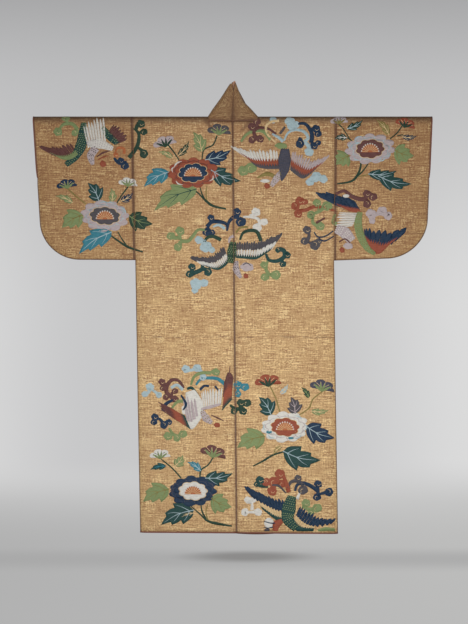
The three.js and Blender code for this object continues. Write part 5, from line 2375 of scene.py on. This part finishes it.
BACK_MOTIFS = (
    PEONY_LEFT_BACK, PEONY_LEFT_SLEEVE, PEONY_RIGHT_SLEEVE, PEONY_LOW_RIGHT, PEONY_LOW_LEFT, PHOENIX_RIGHT_BACK,
    PHOENIX_CENTRE, PHOENIX_RIGHT_SEAM, PHOENIX_LEFT_SLEEVE, PHOENIX_LOW_LEFT, PHOENIX_LOW_RIGHT,
)


class Repeat(NamedTuple):
    """A motif woven again on the fronts: turned over or not, moved, and in other silks."""

    motif: Motif
    flip: bool
    to: Point
    silks: int


FRONT_MOTIFS = (
    Repeat(PEONY_LEFT_SLEEVE, True, (98, 168), 1), Repeat(PHOENIX_RIGHT_BACK, False, (82, 226), 2),
    Repeat(PHOENIX_CENTRE, True, (178, 168), 1), Repeat(PEONY_LOW_RIGHT, True, (178, 246), 2),
    Repeat(PEONY_RIGHT_SLEEVE, True, (366, 214), 2), Repeat(PHOENIX_LEFT_SLEEVE, False, (380, 150), 1),
    Repeat(PEONY_LEFT_BACK, False, (296, 186), 1), Repeat(PHOENIX_LOW_RIGHT, False, (290, 284), 2),
    Repeat(PHOENIX_LOW_LEFT, True, (182, 400), 1), Repeat(PEONY_LOW_LEFT, False, (188, 488), 2),
    Repeat(PEONY_LOW_RIGHT, False, (268, 420), 1), Repeat(PHOENIX_RIGHT_BACK, True, (288, 492), 1),
)

SILK_SETS = (
    {},
    {S.RUST: S.NAVY, S.NAVY: S.RUST, S.PLUM: S.TEAL, S.TEAL: S.PLUM, S.LILAC: S.WHITE, S.WHITE: S.LILAC},
    {S.RUST: S.TEAL, S.NAVY: S.PLUM, S.PLUM: S.RUST, S.TEAL: S.NAVY, S.GREY: S.RUST, S.TURQUOISE: S.GREEN},
)


@dataclass(frozen=True)
class DraftScale:
    """Size of the draft's squares on the cloth and where the draft lies on the robe."""

    square: float = 3.559
    middle: float = 232.6
    top: float = 116.0
    top_height: float = 17.0

    def place(self, point: Point) -> Point:
        """Place on the hanging robe, x and height, of a place in the draft."""
        return (point[0] - self.middle) * self.square, self.top_height - (point[1] - self.top) * self.square


SCALE = DraftScale()
# Step over which the slope of the cloth is taken below a float
SLOPE_STEP = 1.5


@dataclass
class SilkFloats:
    """The brocaded silks of one panel: patches of float that lie proud of the gold ground."""

    side: Side
    sleeve: bool
    form: RobeForm = FORM
    first_rise: float = 0.26
    layer_rise: float = 0.13
    jitter: float = 0.002
    thickness: float = 0.28
    from_seam: float = 1.2
    from_cuff: float = 12
    from_hem: float = 3

    @property
    def word(self) -> str:
        """Name of the panel."""
        return f"{'sleeve' if self.sleeve else 'body'}_{self.side.word}"

    def flat(self, x: float, z: float, face: Face) -> Point:
        """Place on the cut panel of a place on the hanging robe.

        Args:
            x: Place across the hanging robe.
            z: Height.
            face: Face of the robe.

        Returns:
            The place.
        """
        form, side = self.form, self.side
        v = z if face == Face.BACK else form.over - z
        if not self.sleeve:
            return form.panel_place(x, min(z, 0)), v
        edge = abs(form.across(side * form.panel, z))
        return side * (form.panel + side * x - edge), v

    def middle(self, p: float, v: float) -> Vector:
        """Place of the cloth's middle for a place on the cut panel.

        Args:
            p: Distance across the cut panel.
            v: Distance along the strip.

        Returns:
            The place.
        """
        form, side = self.form, self.side
        turning = 0 < v < form.over
        z = 0.0 if turning else form.level(v)[0]
        if not self.sleeve:
            x = form.across(p, z)
            if turning:
                return form.over_rod(x, v)
            return Vector((x, form.body_y(p, z, side, form.level(v)[1]), z))
        x = form.across(side * form.panel, z) + side * (abs(p) - form.panel)
        if turning:
            return form.over_rod(x, v)
        cut = SLEEVE_CUTS[side]
        outer = abs(form.sleeve_outer(side, z))
        inset = outer - abs(x)
        if inset > cut.radius:
            inner = abs(form.across(side * form.panel, z)) + form.seam_gap
            t = (outer - cut.radius - abs(x)) / (outer - cut.radius - inner)
            inset = cut.radius + t * (cut.reach - cut.radius - form.panel)
        return Vector((x, form.sleeve_y(side, max(0.0, inset), z, form.level(v)[1]), z))

    def lifted(self, p: float, v: float, rise: float) -> Vector:
        """Place above the cloth's outer face.

        Args:
            p: Distance across the cut panel.
            v: Distance along the strip.
            rise: Height above the cloth's face.

        Returns:
            The place.
        """
        here = self.middle(p, v)
        across = self.middle(p + SLOPE_STEP, v) - here
        upward = self.middle(p, v + SLOPE_STEP) - here
        normal = across.cross(upward).normalized()
        return here + normal * (self.form.cloth / 2 + rise)

    def limits(self) -> tuple[float, float, float, float]:
        """Lowest and highest place of the floats across and along the panel.

        Returns:
            The four limits.
        """
        form, side = self.form, self.side
        if self.sleeve:
            near, far = form.panel + self.from_seam, SLEEVE_CUTS[side].reach - self.from_cuff
            bottom = SLEEVE_CUTS[side].inner_bottom + self.from_hem
        else:
            near, far, bottom = self.from_seam, form.panel - self.from_seam, form.hem + self.from_hem
        low, high = sorted((side * near, side * far))
        return low, high, bottom, form.over - bottom

    def rims(self) -> list[tuple[Point, Point]]:
        """Lines beyond which a sleeve has no floats: its slanting outer edge and round corner, on both faces.

        Returns:
            A place on each line and the direction away from the sleeve.
        """
        if not self.sleeve:
            return []
        form, side = self.form, self.side
        cut = SLEEVE_CUTS[side]
        high = cut.outer_bottom + cut.radius
        tops = [
            form.panel + abs(form.sleeve_outer(side, z)) - abs(form.across(side * form.panel, z)) - self.from_hem
            for z in (0, high)
        ]
        slope = (tops[1] - tops[0]) / high
        size = math.hypot(1, slope)
        lines = [((tops[0], 0.0), (1 / size, -slope / size))]
        for degrees in (12, 30, 48, 66, 82):
            c, s = math.cos(math.radians(degrees)), -math.sin(math.radians(degrees))
            reach = cut.radius - self.from_hem
            lines.append(((tops[1] - reach + reach * c, high + reach * s), (c, s)))
        back = [((side * p, v), (side * a, b)) for (p, v), (a, b) in lines]
        return back + [((p, form.over - v), (a, -b)) for (p, v), (a, b) in back]

    def weave(self, patches: Sequence[tuple[Patch, Face]], finishes: Sequence[bpy.types.Material]) -> bpy.types.Object:
        """Makes the panel's floats.

        Args:
            patches: Patches with the face on which each lies.
            finishes: Finish of each silk, by its number.

        Returns:
            The floats as one piece.
        """
        mesh = bmesh.new()
        carrier = bpy.data.meshes.new("patch")
        for count, (patch, face) in enumerate(patches):
            rise = self.first_rise + self.layer_rise * patch.layer + self.jitter * (count % 9)
            outline = [self.flat(*SCALE.place(point), face) for point in patch.outline]
            if self.fill(carrier, patch, outline, rise):
                mesh.from_mesh(carrier)
        bpy.data.meshes.remove(carrier)
        bmesh.ops.remove_doubles(mesh, verts=mesh.verts[:], dist=0.002)
        weave = mesh.loops.layers.uv.new("Weave")
        for face in mesh.faces:
            face.smooth = True
            for loop in face.loops:
                loop[weave].uv = (loop.vert.co.x * MM, loop.vert.co.y * MM)
        for vert in mesh.verts:
            vert.co = self.lifted(*vert.co) * MM
        piece = finished(f"silk_floats_{self.word}", mesh, finishes)
        body = piece.modifiers.new("floats", "SOLIDIFY")
        body.thickness = self.thickness * MM
        body.offset = -1
        return piece

    def fill(self, carrier: bpy.types.Mesh, patch: Patch, outline: list[Point], rise: float) -> bool:
        """Fills one flat patch and cuts it on the cloth's grid.

        Args:
            carrier: Mesh that takes the patch.
            patch: The patch.
            outline: Its outline on the cut panel.
            rise: Its height above the cloth.

        Returns:
            Whether any of it lies on this panel.
        """
        low, high, bottom, end = self.limits()
        left, right = min(p for p, _ in outline), max(p for p, _ in outline)
        first, last = min(v for _, v in outline), max(v for _, v in outline)
        if right < low or left > high or last < bottom or first > end:
            return False
        mesh = bmesh.new()
        corners = [mesh.verts.new((p, v, rise)) for p, v in outline]
        if patch.band:
            count = len(corners)
            for k in range(count // 2 - 1):
                mesh.faces.new((corners[k], corners[k + 1], corners[count - 2 - k], corners[count - 1 - k]))
        else:
            mesh.faces.new(corners)
        mesh.normal_update()
        for face in mesh.faces:
            face.material_index = patch.silk.number
            if face.normal.z < 0:
                face.normal_flip()
        mesh.normal_update()
        bmesh.ops.triangulate(mesh, faces=mesh.faces[:])
        for p, out in ((low, -1), (high, 1)):
            if left < p < right:
                self.cut(mesh, (p, 0, 0), (out, 0, 0), True)
        for v, out in ((bottom, -1), (end, 1)):
            if first < v < last:
                self.cut(mesh, (0, v, 0), (0, out, 0), True)
        for (p, v), (a, b) in self.rims():
            if any((x - p) * a + (y - v) * b > 0 for x, y in outline):
                self.cut(mesh, (p, v, 0), (a, b, 0), True)
        for p in self.lines_across(low, high):
            if left < p < right:
                self.cut(mesh, (p, 0, 0), (1, 0, 0), False)
        for v in self.lines_along(bottom, end):
            if first < v < last:
                self.cut(mesh, (0, v, 0), (0, 1, 0), False)
        found = len(mesh.faces) > 0
        mesh.to_mesh(carrier)
        mesh.free()
        return found

    def lines_across(self, low: float, high: float) -> list[float]:
        """Places across on which patches are cut."""
        return steps(low, high, GRID)[1:-1]

    def lines_along(self, bottom: float, end: float) -> list[float]:
        """Places along on which patches are cut, closer on the turn over the rod."""
        over = steps(0, self.form.over, 4)
        return merged(steps(bottom, 0, GRID)[1:], over, steps(self.form.over, end, GRID)[:-1])

    def cut(self, mesh: bmesh.types.BMesh, place: Sequence[float], direction: Sequence[float], clear: bool) -> None:
        """Cuts a flat patch along a line, and drops what lies beyond where clear is true."""
        everything = mesh.verts[:] + mesh.edges[:] + mesh.faces[:]
        bmesh.ops.bisect_plane(mesh, geom=everything, dist=1e-4, plane_co=place, plane_no=direction, clear_outer=clear)


@dataclass(frozen=True)
class SilkFinish:
    """Glossed silk weft floats in one colour."""

    silk: Silk
    effects: Effects

    def make(self) -> bpy.types.Material:
        """Builds the material.

        Returns:
            The material.
        """
        nodes, shader, material = surface(f"silk_{self.silk.name.lower()}")
        weave_map = nodes.map("Weave")
        weave = nodes.place(self.effects.weave, {"Vector": weave_map, "Weft Pitch": 0.0009, "Warp Pitch": 0.0042})
        base = linear(self.silk.value)
        deep, light = toned(base, 0.66), toned(base, 1.22, 0.012)
        thread = nodes.ramp(weave.outputs["Thread"], 0.34, 0.68)
        colour = nodes.blend(nodes.math("MULTIPLY", thread, 0.7), light, base)
        worn = nodes.ramp(nodes.noise(weave_map, (60, 240, 1), 3, 0.6), 0.5, 0.72)
        colour = nodes.blend(nodes.math("MULTIPLY", worn, 0.55), colour, deep)
        bump = nodes.add("Bump", {"Height": weave.outputs["Height"], "Strength": 0.45, "Distance": 0.0003})
        rough = nodes.math("MULTIPLY_ADD", worn, 0.16, 0.44)
        nodes.feed(shader, {"Base Color": colour, "Roughness": rough, "Normal": bump.outputs[0]})
        shader.inputs["Sheen Weight"].default_value = 0.04
        shader.inputs["Specular IOR Level"].default_value = 0.22
        return material


@dataclass
class Brocading:
    """All woven designs of the robe, and the floats that they make on each panel."""

    effects: Effects

    def front_patches(self) -> list[tuple[Patch, Face]]:
        """Patches of the fronts, each motif moved, turned and in other silks.

        Returns:
            The patches, with their face.
        """
        found = []
        for repeat in FRONT_MOTIFS:
            patches = repeat.motif.draw()
            xs = [x for patch in patches for x, _ in patch.outline]
            ys = [y for patch in patches for _, y in patch.outline]
            cx, cy = (min(xs) + max(xs)) / 2, (min(ys) + max(ys)) / 2
            turn = -1 if repeat.flip else 1
            swap = SILK_SETS[repeat.silks]
            for patch in patches:
                outline = [(repeat.to[0] + turn * (x - cx), repeat.to[1] + y - cy) for x, y in patch.outline]
                silk = swap.get(patch.silk, patch.silk)
                found.append((patch._replace(silk=silk, outline=outline), Face.FRONT))
        return found

    def build(self) -> dict[str, bpy.types.Object]:
        """Weaves the floats of each panel.

        Returns:
            The floats by the panel's name.
        """
        finishes = [SilkFinish(silk, self.effects).make() for silk in Silk]
        patches = [(patch, Face.BACK) for motif in BACK_MOTIFS for patch in motif.draw()]
        patches += self.front_patches()
        made = {}
        for side in Side:
            for sleeve in (False, True):
                floats = SilkFloats(side, sleeve)
                piece = floats.weave(patches, finishes)
                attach(piece, "root")
                made[floats.word] = piece
                log.info("%s woven with %d faces", piece.name, len(piece.data.polygons))
        return made


@dataclass
class Rod:
    """Plain round rod through both sleeves."""

    radius: float = 0.014
    half_length: float = 0.694
    ease: float = 0.0016

    def build(self, finish: bpy.types.Material) -> bpy.types.Object:
        """Turns the rod with eased ends.

        Args:
            finish: Its wood.

        Returns:
            The rod.
        """
        mesh = bmesh.new()
        bmesh.ops.create_cone(
            mesh, cap_ends=True, segments=64, radius1=self.radius, radius2=self.radius, depth=2 * self.half_length
        )
        rims = [edge for edge in mesh.edges if abs(edge.verts[0].co.z - edge.verts[1].co.z) < 1e-6]
        bmesh.ops.bevel(
            mesh, geom=rims, offset=self.ease, segments=3, profile=0.5, affect="EDGES", material=-1, clamp_overlap=True
        )
        for vert in mesh.verts:
            vert.co = Vector((vert.co.z, vert.co.y, -vert.co.x))
        bmesh.ops.recalc_face_normals(mesh, faces=mesh.faces[:])
        for face in mesh.faces:
            face.smooth = len(face.verts) < 8
        return finished("wooden_rod", mesh, [finish])


class Lamp(NamedTuple):
    """A soft square light: where it stands, what it lights, the side of its square and its watts."""

    name: str
    place: tuple[float, float, float]
    aim: tuple[float, float, float]
    size: float
    power: float


LAMPS = (
    Lamp("key", (0.15, -1.75, -0.95), (0.02, 0, -0.85), 0.9, 26),
    Lamp("fill", (-0.5, -3.4, 0.5), (0, 0, -0.6), 2.2, 26),
    Lamp("front_key", (-0.1, 2.0, -0.6), (0, 0, -0.7), 1.2, 26),
    Lamp("left", (-2.6, 0.3, 0.2), (0, 0, -0.6), 1.6, 14),
    Lamp("right", (2.6, 0.3, 0.2), (0, 0, -0.6), 1.6, 14),
)


@dataclass
class Studio:
    """Plain pale studio: floor, round backdrop, soft lights and the camera of the photograph."""

    centre_x: float = 0.005
    centre_z: float = -0.6806
    distance: float = 6.0
    back_plane: float = -0.012
    lens: float = 97.3
    floor_z: float = -1.5525

    def camera(self) -> None:
        """Places the camera level and square to the robe's back."""
        data = bpy.data.cameras.new("camera")
        data.lens = self.lens
        data.sensor_width = 36
        data.clip_start, data.clip_end = 0.1, 100
        camera = bpy.data.objects.new("camera", data)
        camera.location = (self.centre_x, self.back_plane - self.distance, self.centre_z)
        camera.rotation_euler = (math.radians(90), 0, 0)
        bpy.context.scene.collection.objects.link(camera)
        bpy.context.scene.camera = camera

    def light(self, lamp: Lamp) -> None:
        """Adds a soft square light.

        Args:
            lamp: The light.
        """
        data = bpy.data.lights.new(lamp.name, "AREA")
        data.size = lamp.size
        data.energy = lamp.power
        light = bpy.data.objects.new(lamp.name, data)
        light.location = lamp.place
        light.rotation_euler = (Vector(lamp.aim) - Vector(lamp.place)).to_track_quat("-Z", "Y").to_euler()
        light.visible_camera = False
        bpy.context.scene.collection.objects.link(light)

    def lights(self) -> None:
        """Adds the soft lights, lower than the shoulders, and the dim room."""
        for lamp in LAMPS:
            self.light(lamp)
        world = bpy.data.worlds.new("room")
        world.use_nodes = True
        back = world.node_tree.nodes["Background"]
        back.inputs[0].default_value = (0.95, 0.98, 1.0, 1)
        back.inputs[1].default_value = 0.16
        bpy.context.scene.world = world
        bpy.context.scene.view_settings.view_transform = "Standard"

    def glow(self, nodes: Nodes, colour: bpy.types.NodeSocket) -> bpy.types.NodeSocket:
        """Light of a studio surface, stronger where the camera sees it than where it lights the robe.

        Args:
            nodes: Nodes of the surface.
            colour: Its colour.

        Returns:
            The shader.
        """
        seen = nodes.add("LightPath").outputs["Is Camera Ray"]
        strength = nodes.math("MULTIPLY_ADD", seen, 0.72, 0.28)
        return nodes.add("Emission", {"Color": colour, "Strength": strength}).outputs[0]

    def backdrop(self) -> None:
        """Spins a round wall with a soft upright gradient, with painted shade darkening its middle behind the robe and
        its top.
        """
        mesh = bmesh.new()
        foot = mesh.verts.new((12.0, 0, -7))
        head = mesh.verts.new((12.0, 0, 9))
        edge = mesh.edges.new((foot, head))
        bmesh.ops.spin(
            mesh, geom=[foot, head, edge], cent=(0, 0, 0), axis=(0, 0, 1), angle=2 * math.pi, steps=96, use_merge=True
        )
        for face in mesh.faces:
            face.smooth = True
        nodes, material = empty_material("backdrop_paper")
        place = nodes.add("SeparateXYZ", {0: nodes.add("TexCoord").outputs["Object"]})
        # Painted shade: the wall is darker in its middle, behind the robe
        aside = nodes.math("ABSOLUTE", nodes.math("ADD", place.outputs[0], 0.3))
        colour = nodes.blend(nodes.ramp(aside, 1.1, 3.0), linear((199, 199, 200)), linear((219, 219, 219)))
        # Painted falloff of light: the wall darkens towards its top
        colour = nodes.blend(nodes.ramp(place.outputs[2], -0.8, 2.4), colour, linear((187, 187, 188)))
        colour = nodes.blend(nodes.ramp(place.outputs[2], 1.6, 3.8), colour, linear((140, 140, 141)))
        nodes.add("OutputMaterial", {"Surface": self.glow(nodes, colour)})
        finished("backdrop", mesh, [material])

    def floor(self) -> None:
        """Lays a pale floor that fades into the backdrop, with a painted soft shadow below the hem and a painted band
        of shade across it.
        """
        mesh = bmesh.new()
        bmesh.ops.create_circle(mesh, cap_ends=True, segments=96, radius=4.5)
        bmesh.ops.translate(mesh, verts=mesh.verts[:], vec=(0, 0, self.floor_z))
        nodes, material = empty_material("floor_paper")
        place = nodes.add("TexCoord").outputs["Object"]
        parts = nodes.add("SeparateXYZ", {0: place})
        x, y = parts.outputs[0], parts.outputs[1]
        colour = nodes.blend(nodes.ramp(x, -1.1, 1.5), linear((177, 177, 177)), linear((190, 190, 189)))
        colour = nodes.blend(nodes.ramp(y, 0.1, 3.4), colour, linear((206, 206, 206)))
        # Painted band of shade across the floor just below the robe
        shade_band = nodes.math("ABSOLUTE", nodes.math("ADD", y, 0.06))
        shade_band = nodes.math("SUBTRACT", 0.7, nodes.math("MULTIPLY", nodes.ramp(shade_band, 0.02, 0.34), 0.7))
        colour = nodes.blend(shade_band, colour, linear((166, 166, 166)))
        # Painted soft shadow below the hem
        spot = nodes.add("CombineXYZ", {
            0: nodes.math("MULTIPLY", nodes.math("SUBTRACT", x, 0.055), 3.7),
            1: nodes.math("MULTIPLY", nodes.math("SUBTRACT", y, 0.0), 6.2)})
        reach = nodes.add("VectorMath", {0: spot.outputs[0]}, operation="LENGTH").outputs[1]
        shade = nodes.math("SUBTRACT", 0.95, nodes.math("MULTIPLY", nodes.ramp(reach, 0.25, 1.15), 0.95))
        colour = nodes.blend(shade, colour, linear((139, 138, 137)))
        glow = self.glow(nodes, colour)
        clear = nodes.add("BsdfTransparent")
        flat = nodes.add("CombineXYZ", {0: x, 1: y})
        far = nodes.add("VectorMath", {0: flat.outputs[0]}, operation="LENGTH").outputs[1]
        both = nodes.add("MixShader", {0: nodes.ramp(far, 1.9, 4.3), 1: glow, 2: clear.outputs[0]})
        nodes.add("OutputMaterial", {"Surface": both.outputs[0]})
        finished("floor", mesh, [material])

    def build(self) -> None:
        """Sets the whole studio."""
        self.camera()
        self.lights()
        self.backdrop()
        self.floor()


class Sewn(NamedTuple):
    """How one piece of cloth is sewn, and the cut that its node stands for.

    The outer face looks outward at the place near. Cut is the width and length in metres that it was cut to, and
    area its flat area in square metres where it isn't a rectangle.
    """

    node: str
    cloth: Cloth
    outer: bpy.types.Material
    inner: bpy.types.Material
    wall: float
    outward: tuple[float, float, float]
    near: tuple[float, float, float]
    slot: str
    cut: tuple[float, float]
    area: float | None = None


@dataclass
class Robe:
    """The whole garment: sews each panel and puts it in the CAD node's place."""

    finishes: Finishes
    floats: dict[str, bpy.types.Object]
    form: RobeForm = FORM

    def hang(self, sewn: Sewn, side: Side) -> None:
        """Sews a piece of cloth and lets it stand for its CAD node.

        Args:
            sewn: How it is sewn and cut.
            side: Half of the robe.
        """
        near = Vector((side * sewn.near[0], *sewn.near[1:]))
        piece = sewn.cloth.sew(sewn.outer, sewn.inner, sewn.wall, Vector(sewn.outward), near)
        node = f"{sewn.node}_{side.word}"
        floats = [self.floats[node]] if node in self.floats else []
        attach(piece, "root")
        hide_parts(node)
        log.info("%s hung in place of %s", piece.name, node)

    def sew_side(self, side: Side) -> None:
        """Sews and hangs all pieces of one half of the robe.

        Args:
            side: Half of the robe.
        """
        finishes, form, lips = self.finishes, self.form, LiningLips(side)
        ground, lining, sleeve = finishes.body, finishes.lining, finishes.sleeve
        gold, red = "gold_brocade", "red_brown_lining"
        back, front, up = (0, -1, 0), (0, 1, 0), (0, 0, 1)
        for sewn in (
            Sewn("body", BodyPanel(side).build(), ground, lining, form.cloth, back, (0.2, -0.013, -0.7),
                 gold, (0.355, 2.975), 1.035),
            Sewn("sleeve", SleevePanel(side).build(), sleeve, lining, form.cloth, back, (0.5, -0.013, -0.25),
                 gold, (0.353, 1.04)),
            Sewn("collar", CollarHalf(side).build(), finishes.collar, finishes.pale_lining, form.collar_cloth, back,
                 (0.03, -0.012, 0.04), gold, (0.142, 1.16)),
            Sewn("okumi", OverlapPanel(side).build(), ground, lining, form.cloth, front, (-0.08, 0.014, -1.2),
                 gold, (0.158, 1.225), 0.1457),
            Sewn("hem_lip", lips.body_hem(), lining, lining, form.lip_cloth, back, (0.2, -0.011, -1.466),
                 red, (0.01, 0.71), 0.0034),
            Sewn("okumi_lip", lips.okumi_hem(), lining, lining, form.lip_cloth, front, (-0.08, 0.012, -1.466),
                 red, (0.01, 0.158), 0.00075),
            Sewn("cuff_lip", lips.cuff(), lining, lining, form.cloth, up, (0.7, 0, 0.015),
                 red, (0.01, 0.46), 0.0017),
        ):
            self.hang(sewn, side)


def main() -> None:
    """Builds the robe, the rod and the studio, and reports each piece."""
    logging.basicConfig(level=logging.INFO, format="%(name)s: %(message)s")
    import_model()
    studio = Studio()
    studio.build()
    finishes = Finishes()
    rod = Rod().build(finishes.wood)
    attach(rod, "root")
    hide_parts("rod")
    robe = Robe(finishes, Brocading(finishes.effects).build())
    for side in Side:
        robe.sew_side(side)
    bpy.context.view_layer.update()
    log.info("robe hung on %s", rod.name)


if __name__ == "__main__":
    main()
